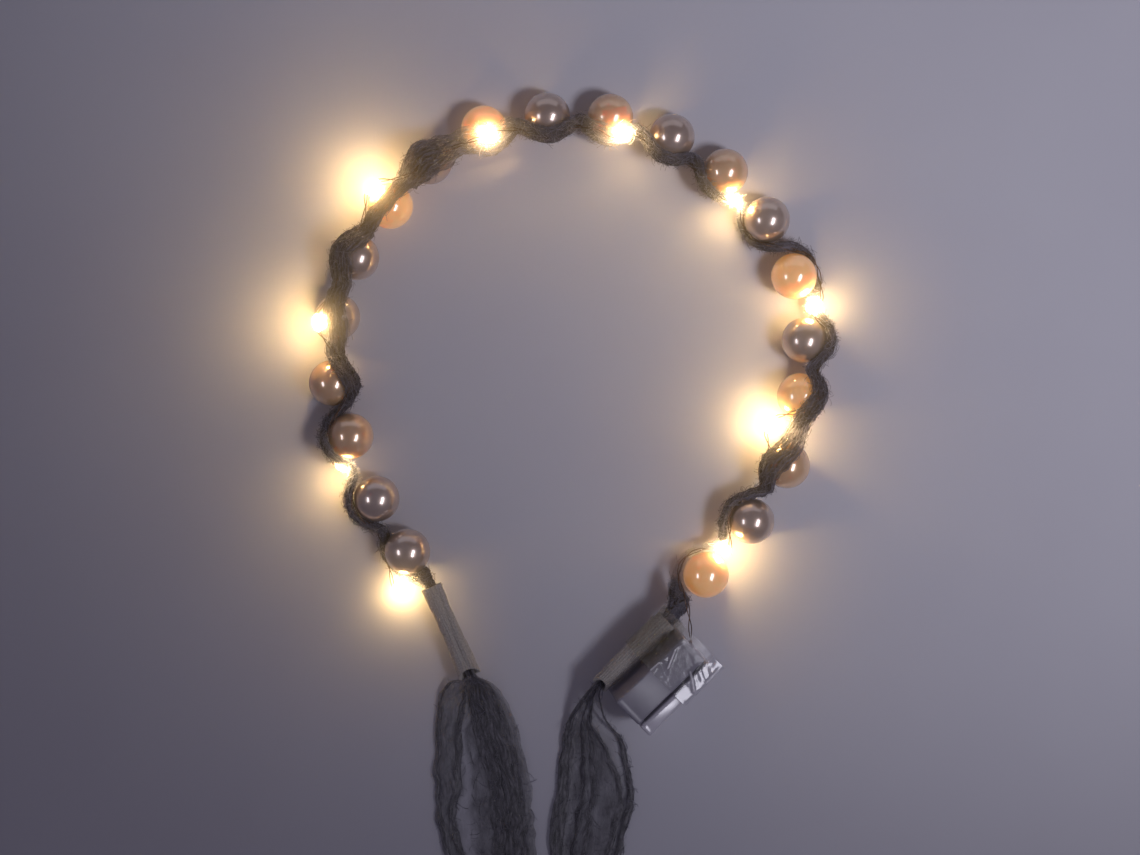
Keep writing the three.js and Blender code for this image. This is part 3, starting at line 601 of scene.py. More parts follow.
# Ribbon: one long strip of sheer crinkled organza, gathered into a bundle that spreads over the side of
# each pearl and is pinched between two. It is cut about 50 mm wide, and its yarn is fuzzy with loose
# fibres.
RIBBON_THICK = 2.2
RIBBON_PINCH = 6.2
PINCH_THICK = 3.4
RIBBON_CLEAR = 0.85  # mm from a pearl to the ribbon's middle layers, less half its thickness
THIN_GAPS = {2.5: 0.65, 13.5: 0.45, 15.5: 0.45, 17.5: 0.45}  # gaps where a drop shines through the cloth
DROP_CLEAR = 0.25 * MM
RIBBON_SWING = 0.65  # a power: the smaller it is, the longer the ribbon stays spread
RIBBON_PASS = 0.4  # of its offset that the ribbon keeps in a gap where it stays on the same side
RIBBON_STEPS = 26
RIBBON_PLEATS = 9
RIBBON_COLUMNS = 84
RIBBON_EDGES = 0.85  # how far the bundle thins to its edges
PLEAT_WANDER = 2.6  # radians
PLEAT_SAG = 0.6
PLEAT_ASTRAY = 0.2
CRINKLE = 0.5 * MM
CRINKLE_SIZE = 1.5 * MM
CLOTH_CLEAR = 0.25 * MM  # from a pearl
CLOTH_FLOOR = 0.15 * MM
RIBBON_OVER_PEARLS = [  # side in degrees as for the wire, width in mm, close 1 or less where it is thin
    {"side": 220, "width": 2.8, "close": 0.5},
    {"side": 180, "width": 4.6, "close": 1},
    {"side": 158, "width": 5.4, "close": 1},
    {"side": 40, "width": 8.2, "close": 1},
    {"side": 90, "width": 7.4, "close": 1},
    {"side": 125, "width": 9.2, "close": 1},
    {"side": 95, "width": 5.2, "close": 1},
    {"side": 96, "width": 13.2, "close": 1},
    {"side": 50, "width": 14.0, "close": 0.4},
    {"side": 36, "width": 8.0, "close": 0.8},
    {"side": 34, "width": 12.0, "close": 0.4},
    {"side": 30, "width": 7.4, "close": 0.8},
    {"side": 22, "width": 7.0, "close": 0.7},
    {"side": -36, "width": 3.4, "close": 0.4},
    {"side": 228, "width": 3.8, "close": 0.8},
    {"side": 162, "width": 6.0, "close": 1},
    {"side": 130, "width": 8.0, "close": 1},
    {"side": 55, "width": 10.5, "close": 1},
    {"side": 8, "width": 4.6, "close": 1},
    {"side": 0, "width": 4.4, "close": 0.04},
]


def mix(a, b, share):
    return a + (b - a) * share


def ribbon_stations():
    """The bundle's stations: number along the band, turn, offset from its line, width and thickness."""
    reach = PEARL_RADIUS / MM + RIBBON_CLEAR + RIBBON_THICK / 2
    turn = RIBBON_OVER_PEARLS[0]["side"]
    rows = []
    for row in RIBBON_OVER_PEARLS:
        half_turns = round((turn - row["side"]) / 180)
        turn = row["side"] + 180 * half_turns
        face = 1 if half_turns % 2 == 0 else -1
        rows.append({**row, "turn": turn, "thick": RIBBON_THICK, "offset": face * reach, "pearl": True})
    end = {"offset": 0, "pearl": False, "close": 1}
    start = [{**row, **end, "turn": rows[0]["turn"]} for row in RIBBON_START]
    finish = [{**row, **end, "turn": rows[-1]["turn"]} for row in RIBBON_FINISH]
    rows = start + rows + finish
    stations = []
    for i in range(len(rows) - 1):
        a, b = rows[i], rows[i + 1]
        for k in range(RIBBON_STEPS):
            share = k / RIBBON_STEPS
            spread = 0.0
            wide, narrow = a, b
            if a["pearl"] and b["pearl"]:
                wide = a if share < 0.5 else b
                thin = THIN_GAPS.get(i - first_pearl + 1.5, 1)
                narrow = {"width": RIBBON_PINCH, "thick": PINCH_THICK, "close": thin}
                spread = max(math.cos(math.pi * min(share, 1 - share)), 0) ** RIBBON_SWING
                if a["offset"] * b["offset"] > 0:
                    spread = (spread**6 + RIBBON_PASS**6) ** (1 / 6)
            elif a["pearl"]:
                spread = math.cos(math.pi / 2 * share) ** RIBBON_SWING
            elif b["pearl"]:
                wide, narrow = b, a
                spread = math.cos(math.pi / 2 * (1 - share)) ** RIBBON_SWING
            else:
                spread = 1 - share
            stations.append({
                "number": i + share,
                "turn": mix(a["turn"], b["turn"], share),
                "offset": wide["offset"] * spread,
                "width": mix(narrow["width"], wide["width"], spread),
                "thick": mix(narrow["thick"], wide["thick"], spread),
                "close": mix(narrow["close"], wide["close"], min(1, 1.3 * spread)),
                "bend": np.sign(wide["offset"]) * spread / reach if wide["pearl"] else 0.0,
            })
    return stations


def crinkled(x, y, seed, size):
    """Smooth noise from -1 to 1 at a place on the cloth, for crinkles of that size."""
    return noise.noise(Vector((x / size, y / size, seed)))


stations = ribbon_stations()
numbers = [s["number"] for s in stations]
line = smooth_line(band_points, numbers)
line += MM * np.array([s["offset"] * sideways(s["number"], s["turn"]) for s in stations])
ribbon_rows = []
gone = 0.0
for i, s in enumerate(stations):
    ahead, behind = line[min(i + 1, len(line) - 1)], line[max(i - 1, 0)]
    gone += np.linalg.norm(ahead - line[i])
    forward = unit(ahead - behind)
    across = np.cross(band_forward(s["number"]), sideways(s["number"], s["turn"]))
    across = unit(across - np.dot(across, forward) * forward)
    outward = np.cross(across, forward)
    row = []
    for k in range(RIBBON_COLUMNS + 1):
        share = k / RIBBON_COLUMNS
        wander = PLEAT_WANDER * crinkled(share * 50 * MM, gone, 3.0, 9 * MM)
        pleat = math.sin(2 * math.pi * RIBBON_PLEATS * share + wander)
        fullness = math.sqrt(1 - RIBBON_EDGES * (2 * share - 1) ** 2)
        sag = 1 + PLEAT_SAG * crinkled(share * 50 * MM, gone, 7.0, 4 * MM)
        astray = PLEAT_ASTRAY * crinkled(share * 50 * MM, gone, 29.0, 5 * MM)
        reached = s["width"] / 2 * (2 * share - 1 + astray)
        risen = s["thick"] / 2 * fullness * pleat * sag - s["bend"] * reached**2 / 2
        point = line[i] + MM * (reached * across + risen * outward)
        for axis, seed in ((across, 11.0), (outward, 17.0), (forward, 23.0)):
            point = point + CRINKLE * crinkled(share * 60 * MM, gone, seed, CRINKLE_SIZE) * axis
        row.append(clear_of_pearls(point, CLOTH_CLEAR, CLOTH_FLOOR))
    ribbon_rows.append(row)
ribbon_points = np.array(ribbon_rows)
for key, (spot, direction) in zip(LED_AT, drops):
    nearest = min(pearl_middles, key=lambda middle: np.linalg.norm(middle - spot))
    on_pearl = key == int(key)  # where the cloth goes over the drop, and in a gap under it
    cloth_side = unit(spot - nearest) if on_pearl else -UP
    reach = LED_LENGTH / 2 - LED_RADIUS
    along = np.clip((ribbon_points - spot) @ direction, -reach, reach)
    away = ribbon_points - spot - along[..., None] * direction
    touching = np.linalg.norm(away, axis=2) < LED_RADIUS + DROP_CLEAR
    away = away + LED_RADIUS * cloth_side
    away = away / np.linalg.norm(away, axis=2, keepdims=True)
    over_drop = spot + along[..., None] * direction + (LED_RADIUS + DROP_CLEAR) * away
    ribbon_points[touching] = over_drop[touching]


# Sheer organza: fine grey filament yarn, woven open and crinkled, so single layers are see-through and
# folds go dark. The yarn is too fine to show, so its streaks are drawn about 0.7 mm wide. Beside a drop
# the cloth is lit through, which is painted on as a warm glow (emission) that fades away from the drop.
LAMPLIGHT = 16.0
LAMP_NEAR = 2.5 * MM
LIT_THROUGH = 0.06  # share of a drop's light that shines through close layers
THIN_LIT_THROUGH = 0.9  # share that thin cloth lets through besides
LIT_FACE = 0.12  # share of it on pleats that face the drop
PEARL_SHADE = 0.9  # of a pearl's radius, within which it shades the cloth
CLOTH_LAYERS = 64  # that light passes through, as the gathered cloth lies in many layers
bpy.context.scene.cycles.transparent_max_bounces = CLOTH_LAYERS


def sheer_organza(name, dark, pale, least, most):
    """The cloth, whose layers hide between the least and the most of what is behind them."""
    material, tree = new_material(name)
    flat = add(tree, "ShaderNodeUVMap", uv_map="flat")
    drawn_out = add(tree, "ShaderNodeMapping", {
        "Vector": flat.outputs["UV"], "Scale": (1 / 0.7e-3, 1 / 5e-3, 1),
    })
    yarn = add(tree, "ShaderNodeTexNoise", {
        "Vector": drawn_out.outputs[0], "Scale": 1.0, "Detail": 4.0, "Roughness": 0.65,
    })
    patches = add(tree, "ShaderNodeMapping", {
        "Vector": flat.outputs["UV"], "Scale": (1 / 2.2e-3, 1 / 9e-3, 1),
    })
    weft = add(tree, "ShaderNodeTexNoise", {"Vector": patches.outputs[0], "Scale": 1.0, "Detail": 3.0})
    weave = add(tree, "ShaderNodeMath", {0: yarn.outputs["Fac"], 1: weft.outputs["Fac"]}, operation="ADD")
    tone = add(tree, "ShaderNodeValToRGB", {"Fac": yarn.outputs["Fac"]})
    tone.color_ramp.elements[0].position = 0.35
    tone.color_ramp.elements[0].color = linear(dark)
    tone.color_ramp.elements[1].position = 0.72
    tone.color_ramp.elements[1].color = linear(pale)
    open_weave = add(tree, "ShaderNodeMapRange", {
        "Value": weave.outputs[0], "From Min": 0.75, "From Max": 1.25, "To Min": least, "To Max": most,
    })
    close = add(tree, "ShaderNodeAttribute", attribute_name="close")
    hiding = add(tree, "ShaderNodeMath", {
        0: open_weave.outputs[0], 1: close.outputs["Fac"],
    }, operation="MULTIPLY")
    lamplight = add(tree, "ShaderNodeAttribute", attribute_name="lamplight")
    threads = add(tree, "ShaderNodeMapRange", {
        "Value": yarn.outputs["Fac"],
        "From Min": 0.35,
        "From Max": 0.7,
        "To Min": 0.3,
        "To Max": 1.7 * LAMPLIGHT,
    })
    shining = add(tree, "ShaderNodeMath", {
        0: lamplight.outputs["Fac"], 1: threads.outputs[0],
    }, operation="MULTIPLY")
    bump = add(tree, "ShaderNodeBump", {
        "Height": weave.outputs[0], "Strength": 0.5, "Distance": 0.25 * MM,
    })
    cloth = add(tree, "ShaderNodeBsdfPrincipled", {
        "Base Color": tone.outputs["Color"],
        "Alpha": hiding.outputs[0],
        "Normal": bump.outputs["Normal"],
        "Roughness": 0.55,
        "Sheen Weight": 0.35,
        "Sheen Roughness": 0.4,
        "Emission Color": linear("#ffdcaa"),
        "Emission Strength": shining.outputs[0],
    })
    add(tree, "ShaderNodeOutputMaterial", {"Surface": cloth.outputs["BSDF"]})
    return material


def mark(piece, name, values):
    """Writes a value at each point of a piece's mesh, for its material."""
    marks = piece.data.attributes.new(name, "FLOAT", "POINT")
    marks.data.foreach_set("value", np.asarray(values, np.float32).ravel())


def light_from_drops(cloth, close):
    """How brightly the drops light the pleats that face them, and shine through thin cloth."""
    through = LIT_THROUGH + THIN_LIT_THROUGH * (1 - np.asarray(close)[:, None])
    pleat = RIBBON_COLUMNS // RIBBON_PLEATS
    padded = np.pad(cloth, ((0, 0), (pleat, pleat), (0, 0)), mode="edge")
    middle_layer = sum(padded[:, k : k + cloth.shape[1]] for k in range(2 * pleat + 1)) / (2 * pleat + 1)
    facing = cloth - middle_layer
    facing = facing / np.maximum(np.linalg.norm(facing, axis=2, keepdims=True), 1e-9)
    total = np.zeros(cloth.shape[:2])
    for spot, _ in drops:
        way = spot - cloth
        away = np.linalg.norm(way, axis=2)
        way = way / away[..., None]
        faced = LIT_FACE * (1 - through) * np.maximum((facing * way).sum(2), 0)
        nearness = LAMP_NEAR / np.maximum(away, LAMP_NEAR)
        reached = faced * nearness**2 + through * nearness**3
        for middle in pearl_middles:
            to_middle = middle - cloth
            closest = np.clip((to_middle * way).sum(2), 0, away)
            apart = np.linalg.norm(to_middle - closest[..., None] * way, axis=2)
            reached[apart < PEARL_SHADE * PEARL_RADIUS] = 0
        total += reached
    return total


# darker tones than the same cloth in the tails: painted shade deep in the gathered bundle
band_organza_painted_shade = sheer_organza("organza_gathered_painted_shade", "#363540", "#757386", 0.4, 1.0)
ribbon = grid_piece("organza_band", ribbon_points, band_organza_painted_shade)
close = [s["close"] for s in stations]
mark(ribbon, "close", np.repeat(close, RIBBON_COLUMNS + 1))
mark(ribbon, "lamplight", light_from_drops(ribbon_points, close))
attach(ribbon, "root")
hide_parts("ribbon_band")

# Loose fibres: short bent ends of the yarn that stand off the cloth and catch the light.
FIBRE_LENGTH = 4.2 * MM
FIBRE_RADIUS = 0.065 * MM
FIBRE_SEED = 12
BAND_FIBRES = 3.4e5  # in a square metre
fibre_yarn, tree = new_material("loose_yarn_fibre")
# beside a drop the fibres carry the cloth's painted glow, given as emission
lamplight = add(tree, "ShaderNodeAttribute", attribute_name="lamplight")
shining = add(tree, "ShaderNodeMath", {0: lamplight.outputs["Fac"], 1: LAMPLIGHT}, operation="MULTIPLY")
fibre = add(tree, "ShaderNodeBsdfPrincipled", {
    "Base Color": linear("#6a687a"),
    "Roughness": 0.5,
    "Sheen Weight": 0.3,
    "Emission Color": linear("#ffdcaa"),
    "Emission Strength": shining.outputs[0],
})
add(tree, "ShaderNodeOutputMaterial", {"Surface": fibre.outputs["BSDF"]})

loose_fibres, given, fibre_sockets = new_group("loose_fibres", {
    "Fibres in a square metre": "NodeSocketFloat",
    "Fibre length": "NodeSocketFloat",
    "Fibre radius": "NodeSocketFloat",
    "Seed": "NodeSocketInt",
})
close = add(loose_fibres, "GeometryNodeInputNamedAttribute", {"Name": "close"}, data_type="FLOAT")
fewer = add(loose_fibres, "ShaderNodeMath", {
    0: given.outputs["Fibres in a square metre"], 1: close.outputs["Attribute"],
}, operation="MULTIPLY")
roots = add(loose_fibres, "GeometryNodeDistributePointsOnFaces", {
    "Mesh": given.outputs["Geometry"],
    "Density": fewer.outputs[0],
    "Seed": given.outputs["Seed"],
})
bow = add(loose_fibres, "GeometryNodeCurveQuadraticBezier", {
    "Resolution": 4, "Start": (-0.5, 0.0, 0.0), "Middle": (0.1, 0.3, 0.32), "End": (0.5, 0.0, 0.06),
})
sized = add(loose_fibres, "GeometryNodeTransform", {"Geometry": bow.outputs["Curve"]})
loose_fibres.links.new(given.outputs["Fibre length"], sized.inputs["Scale"])
round_end = add(loose_fibres, "GeometryNodeCurvePrimitiveCircle", {
    "Resolution": 3, "Radius": given.outputs["Fibre radius"],
})
thread = add(loose_fibres, "GeometryNodeCurveToMesh", {
    "Curve": sized.outputs["Geometry"], "Profile Curve": round_end.outputs["Curve"], "Fill Caps": True,
})
spin = add(loose_fibres, "FunctionNodeRandomValue", {
    "Min": (-0.5, -0.5, 0.0), "Max": (0.5, 0.5, 2 * math.pi), "Seed": given.outputs["Seed"],
}, data_type="FLOAT_VECTOR")
turned_by = add(loose_fibres, "FunctionNodeEulerToRotation", {"Euler": spin.outputs[0]})
lie = add(loose_fibres, "FunctionNodeRotateRotation", {
    "Rotation": roots.outputs["Rotation"], "Rotate By": turned_by.outputs[0],
}, rotation_space="LOCAL")
grow = add(loose_fibres, "FunctionNodeRandomValue", {
    2: 0.5, 3: 1.4, "Seed": given.outputs["Seed"],
}, data_type="FLOAT")
copies = add(loose_fibres, "GeometryNodeInstanceOnPoints", {
    "Points": roots.outputs["Points"],
    "Instance": thread.outputs["Mesh"],
    "Rotation": lie.outputs[0],
    "Scale": grow.outputs[1],
})
whole = add(loose_fibres, "GeometryNodeRealizeInstances", {"Geometry": copies.outputs["Instances"]})
place = add(loose_fibres, "GeometryNodeInputPosition")
on_table = add(loose_fibres, "ShaderNodeVectorMath", {
    0: place.outputs[0], 1: (-10.0, -10.0, 0.1 * MM),
}, operation="MAXIMUM")
laid = add(loose_fibres, "GeometryNodeSetPosition", {
    "Geometry": whole.outputs["Geometry"], "Position": on_table.outputs[0],
})
dyed = add(loose_fibres, "GeometryNodeSetMaterial", {
    "Geometry": laid.outputs["Geometry"], "Material": fibre_yarn,
})
add(loose_fibres, "NodeGroupOutput", {"Geometry": dyed.outputs["Geometry"]})


def fibres_on(cloth, name, density, seed):
    fuzz = made_by_nodes(name, cloth.data.copy(), loose_fibres, {
        fibre_sockets["Fibres in a square metre"]: density,
        fibre_sockets["Fibre length"]: FIBRE_LENGTH,
        fibre_sockets["Fibre radius"]: FIBRE_RADIUS,
        fibre_sockets["Seed"]: seed,
    })
    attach(fuzz, "root")
    return fuzz


band_fuzz = fibres_on(ribbon, "organza_band_fuzz", BAND_FIBRES, FIBRE_SEED)

# Sleeves: a short tube of fine ribbed knit over each end of the winding, where the ribbon goes over into
# the tails. The tube is open at both ends, and its lower end is cut at a slant.
SLEEVE_LEFT = [
    {"place": (-48.6, -55.7, 7.4), "half_width": 3.7, "half_height": 3.1},
    {"place": (-44.9, -64.2, 7.2), "half_width": 3.2, "half_height": 3.2},
    {"place": (-40.4, -74.2, 7.4), "half_width": 3.3, "half_height": 3.2},
    {"place": (-34.9, -86.9, 8.2), "half_width": 3.9, "half_height": 3.2},
]
SLEEVE_RIGHT_MIDDLE = np.array((21.8, -78.4, 14.5))
SLEEVE_RIGHT_LENGTH = 33.0
SLEEVE_RIGHT_HALVES = [(-1, 3.8, 4.0), (-0.3, 3.9, 4.0), (0.3, 3.5, 3.7), (1, 2.9, 3.0)]
SLEEVE_WALL = 0.8
SLEEVE_SIDES = 144
SLEEVE_STEPS = 90
RIB_DEPTH = 0.16  # mm
RIBS = 24  # round the tube
END_CUT = 2.4  # mm that the lower end's top is cut back by
RUMPLE = 0.34  # mm, of its uneven surface
CREASE_AT = 1.9  # radians round the tube
CREASE_WIDTH = 0.22

ribbed_knit, tree = new_material("ribbed_cotton_knit")
flat = add(tree, "ShaderNodeUVMap", uv_map="flat")
cross_way = add(tree, "ShaderNodeMapping", {
    "Vector": flat.outputs["UV"], "Scale": (1 / 0.35e-3, 1 / 0.7e-3, 1),
})
stitch = add(tree, "ShaderNodeTexNoise", {"Vector": cross_way.outputs[0], "Scale": 1.0, "Detail": 3.0})
rows_of_knit = add(tree, "ShaderNodeTexWave", {
    "Vector": flat.outputs["UV"], "Scale": 1 / (2 * math.pi * 0.16e-3), "Distortion": 1.2, "Detail": 1.0,
}, bands_direction="Y")
tone = add(tree, "ShaderNodeValToRGB", {"Fac": stitch.outputs["Fac"]})
tone.color_ramp.elements[0].position = 0.3
tone.color_ramp.elements[0].color = linear("#ada69e")
tone.color_ramp.elements[1].position = 0.7
tone.color_ramp.elements[1].color = linear("#dbd5cd")
height = add(tree, "ShaderNodeMath", {
    0: stitch.outputs["Fac"], 1: rows_of_knit.outputs["Fac"],
}, operation="ADD")
bump = add(tree, "ShaderNodeBump", {"Height": height.outputs[0], "Strength": 0.6, "Distance": 0.2 * MM})
knit = add(tree, "ShaderNodeBsdfPrincipled", {
    "Base Color": tone.outputs["Color"],
    "Normal": bump.outputs["Normal"],
    "Roughness": 0.85,
    "Sheen Weight": 0.3,
})
add(tree, "ShaderNodeOutputMaterial", {"Surface": knit.outputs["BSDF"]})


def sleeve_piece(name, rows, crease):
    """A ribbed tube with a wall, open at both ends. The crease is how far its top is pressed in, in mm."""
    at = np.linspace(0, len(rows) - 1, SLEEVE_STEPS + 1)
    places = smooth_line([row["place"] for row in rows], at)
    half_width = np.interp(at, range(len(rows)), [row["half_width"] for row in rows])
    half_height = np.interp(at, range(len(rows)), [row["half_height"] for row in rows])

    def rings(inset):
        made = []
        for i, point in enumerate(places):
            forward = unit(places[min(i + 1, SLEEVE_STEPS)] - places[max(i - 1, 0)])
            across = unit(np.cross(forward, UP))
            upward = np.cross(across, forward)
            ring = []
            for k in range(SLEEVE_SIDES):
                angle = 2 * math.pi * k / SLEEVE_SIDES
                rib = RIB_DEPTH * math.cos(RIBS * angle)
                rumple = RUMPLE * crinkled(4 * math.cos(angle), i * 0.3, 5.0 + 4 * math.sin(angle), 3.0)
                fold = CREASE_AT + 0.25 * math.sin(0.07 * i)
                pressed = crease * math.exp(-(((angle - fold) / CREASE_WIDTH) ** 2))
                out = rib + rumple - pressed - inset
                cut = END_CUT * max(math.sin(angle), 0) * max(8 * i / SLEEVE_STEPS - 7, 0)
                spot = point - cut * forward + (half_width[i] + out) * math.cos(angle) * across
                ring.append(spot + (half_height[i] + out) * math.sin(angle) * upward)
            made.append(ring)
        return made

    outer, inner = rings(0), rings(SLEEVE_WALL)
    around = np.array(outer + inner[::-1] + outer[:1])
    placed = drawing_origin + MM * around
    piece = grid_piece(name, placed, ribbed_knit, wraps=True)
    face_outwards(piece.data, welded=True)
    return piece


sleeve_way = -np.array((math.cos(CASE_TURN), math.sin(CASE_TURN), 0))
SLEEVE_RIGHT = [
    {
        "place": SLEEVE_RIGHT_MIDDLE + along * SLEEVE_RIGHT_LENGTH / 2 * sleeve_way,
        "half_width": half_width,
        "half_height": half_height,
    }
    for along, half_width, half_height in SLEEVE_RIGHT_HALVES
]
for side, rows, crease in (("left", SLEEVE_LEFT, 1.0), ("right", SLEEVE_RIGHT, 0.0)):
    sleeve = sleeve_piece(f"knit_sleeve_{side}", rows, crease)
    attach(sleeve, "root")
    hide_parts(f"sleeve_{side}")

# Battery case: a frosted moulded box on its long edge, leaning away from the sleeve. Its lid is the front
# quarter, with a top that slopes to the front. Each half has a raised rim at both ends.
CASE_HEIGHT = 26.0
LID_THICK = 5.3
CASE_SEAM = 0.5
RIM_WIDTH = 1.5
RIM_STEP = 0.25
RIM_SLOPE = 0.2
CORNER_RADIUS = 0.9
LEAST_ROUND = 0.15
LID_ROUND = 1.6
LID_FALL = 0.3  # mm, of the lid's top from back to front
CORNER_STEPS = 6


# Frosted plastic: milky grey with a dull sheen. The lid is smoother, so its top catches light. Lid and
# body
# are one plastic: the lid's paler tones are painted light, and the body's darker ones painted shade.
def frosted(name, dark, pale, roughness, gloss):
    material, tree = new_material(name)
    place = add(tree, "ShaderNodeTexCoord")
    frost = add(tree, "ShaderNodeTexNoise", {
        "Vector": place.outputs["Object"], "Scale": 900.0, "Detail": 2.0,
    })
    haze = add(tree, "ShaderNodeTexNoise", {
        "Vector": place.outputs["Object"], "Scale": 120.0, "Detail": 2.0,
    })
    tone = add(tree, "ShaderNodeValToRGB", {"Fac": haze.outputs["Fac"]})
    tone.color_ramp.elements[0].color = linear(dark)
    tone.color_ramp.elements[1].color = linear(pale)
    bump = add(tree, "ShaderNodeBump", {
        "Height": frost.outputs["Fac"], "Strength": 0.15, "Distance": 0.05 * MM,
    })
    plastic = add(tree, "ShaderNodeBsdfPrincipled", {
        "Base Color": tone.outputs["Color"],
        "Normal": bump.outputs["Normal"],
        "Roughness": roughness,
        "IOR": 1.49,
        "Specular IOR Level": 0.7,
        "Coat Weight": gloss,
        "Coat Roughness": 0.25,
        "Coat IOR": 1.8,
        "Subsurface Weight": 0.3,
        "Subsurface Radius": (1.0, 0.95, 1.0),
        "Subsurface Scale": 2 * MM,
    })
    add(tree, "ShaderNodeOutputMaterial", {"Surface": plastic.outputs["BSDF"]})
    return material


def rounded_outline(y0, y1, z0, z1, radius):
    """A rectangle's outline with round corners, as points (y, z)."""
    outline = []
    for corner, (y, z) in enumerate([(y1, z0), (y1, z1), (y0, z1), (y0, z0)]):
        middle_y = y - math.copysign(radius, y - (y0 + y1) / 2)
        middle_z = z - math.copysign(radius, z - (z0 + z1) / 2)
        for k in range(CORNER_STEPS + 1):
            angle = math.pi / 2 * (corner - 1 + k / CORNER_STEPS)
            outline.append((middle_y + radius * math.cos(angle), middle_z + radius * math.sin(angle)))
    return outline


def box_piece(name, y0, y1, rounding, fall, plastic):
    """A half of the case, lofted along it, with rounded edges and ends and a raised rim at each end."""
    half = CASE_LENGTH / 2
    right = []
    for k in reversed(range(CORNER_STEPS + 1)):
        angle = math.pi / 2 * k / CORNER_STEPS
        x = half - CORNER_RADIUS * (1 - math.sin(angle))
        right.append((x, CORNER_RADIUS * (1 - math.cos(angle))))
    inner = half - CORNER_RADIUS - RIM_WIDTH
    right += [(inner, 0), (inner - RIM_SLOPE, RIM_STEP)]
    rows = [(-x, inset) for x, inset in right] + right[::-1]
    rings = []
    for x, inset in rows:
        corner = max(rounding - inset, LEAST_ROUND)
        outline = rounded_outline(y0 + inset, y1 - inset, inset, CASE_HEIGHT - inset, corner)
        slope = [fall * (y1 - y) / (y1 - y0) * z / CASE_HEIGHT for y, z in outline]
        rings.append([case_point(x, y, z - lower) for (y, z), lower in zip(outline, slope)])
    return grid_piece(name, np.array(rings), plastic, wraps=True, capped=True)


# the lid's paler tones are painted light and the body's darker tones painted shade, on one plastic
lid_plastic_painted_light = frosted("frosted_polypropylene_lid_painted_light", "#c2bfc9", "#e2dfe7", 0.3, 1.0)
case_plastic_painted_shade = frosted("frosted_polypropylene_case_painted_shade", "#7d7a86", "#9f9ca7", 0.4, 0.0)
for name, node, y0, y1, rounding, fall, plastic in (
    ("lid_shell", "battery_lid", 0, LID_THICK, LID_ROUND, LID_FALL, lid_plastic_painted_light),
    ("case_shell", "battery_case", LID_THICK + CASE_SEAM, CASE_THICK, CORNER_RADIUS, 0, case_plastic_painted_shade),
):
    shell = box_piece(name, y0, y1, rounding, fall, plastic)
    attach(shell, "root")
    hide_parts(node)

# Clear tape: one turn of glossy film round the sleeve and one half of the case. It is pulled tight over
# the corners and wrinkles where it bridges from the sleeve to the case. Over the lid it lies in several
# layers, with a lifted edge and a ridge, and it shows white along its creases, partly painted glare.
TAPE_WIDTH = 19.0
TAPE_CLEAR = 0.55  # mm from what it is wrapped round
TAPE_STEP = 0.4
TAPE_FLOOR = -0.75  # mm above the case's foot, which keeps it off the table
TAPE_BRIDGE = 14  # mm back, where it goes over from the case to the sleeve
TAPE_ACROSS = {  # mm back from the foot of the lid's face, and there the wrinkles in mm and two shares
    "back": (-4.0, 0.0, 0.6, 1.6, 2.6, 11.0, 14.0, 26.0),
    "wrinkle": (0.1, 0.1, 0.06, 0.008, 0.008, 0.008, 0.45, 0.3),
    "cover": (0.7, 0.7, 0.1, 0.08, 0.25, 0.28, 0.32, 0.32),
    # the last row also darkens the film by the sleeve: painted shade
    "yellowed_and_shaded": (0.0, 0.0, 0.0, 0.0, 0.0, 0.3, 1.0, 1.0),
}
TAPE_CREASES = [  # ends in mm along the case and back from the foot of the lid's face
    ((11.1, 11.5), (4.9, 8.7)),
    ((4.0, 12.2), (0.2, 12.4)),
    ((9.5, 2.4), (5.7, -3.2)),
    ((16.6, -3.9), (11.0, -4.2)),
]
SINGLE_COVER = 0.12  # down the case's sides and past its end, where the film is one clear layer
CREASE_COVER = 0.9
CREASE_HALF = 0.3  # mm
CREASE_RISE = 0.3  # mm
EDGE_LIFT = 0.75  # mm, of the film's edge over the lid
EDGE_REACH = 5.2
RIDGE_LIFT = 0.55
RIDGE_REACH = 4.5  # mm that the ridge slopes away over
RIDGE_RISE = 0.8  # mm that it rises over

# Clear film: hardly seen where it lies flat and tight. By the sleeve it is yellowish, and darker olive
# there as painted shade of the case. Along a crease it is white: the film's own whitening with painted
# glare.
clear_film, tree = new_material("clear_polypropylene_film")
flat = add(tree, "ShaderNodeUVMap", uv_map="flat")
ripple = add(tree, "ShaderNodeTexNoise", {
    "Vector": flat.outputs["UV"], "Scale": 260.0, "Detail": 2.0, "Distortion": 1.5,
})
bump = add(tree, "ShaderNodeBump", {
    "Height": ripple.outputs["Fac"], "Strength": 0.06, "Distance": 0.4 * MM,
})
cover = add(tree, "ShaderNodeAttribute", attribute_name="cover")
yellowed_and_shaded = add(tree, "ShaderNodeAttribute", attribute_name="yellowed_and_shaded")
crease_and_glare = add(tree, "ShaderNodeAttribute", attribute_name="crease_and_glare")
# painted shade: a darker olive film by the sleeve; painted glare: white along the creases
layered = add(tree, "ShaderNodeMix", {
    "Factor": yellowed_and_shaded.outputs["Fac"], "A": linear("#cfcdd5"), "B": linear("#8a8464"),
}, data_type="RGBA")
tone = add(tree, "ShaderNodeMix", {
    "Factor": crease_and_glare.outputs["Fac"], "A": layered.outputs["Result"], "B": linear("#f6f4f8"),
}, data_type="RGBA")
film = add(tree, "ShaderNodeBsdfPrincipled", {
    "Base Color": tone.outputs["Result"],
    "Normal": bump.outputs["Normal"],
    "Roughness": 0.07,
    "IOR": 1.49,
    "Specular IOR Level": 1.0,
    "Coat Weight": 1.0,
    "Coat Roughness": 0.04,
    "Alpha": cover.outputs["Fac"],
})
add(tree, "ShaderNodeOutputMaterial", {"Surface": film.outputs["BSDF"]})

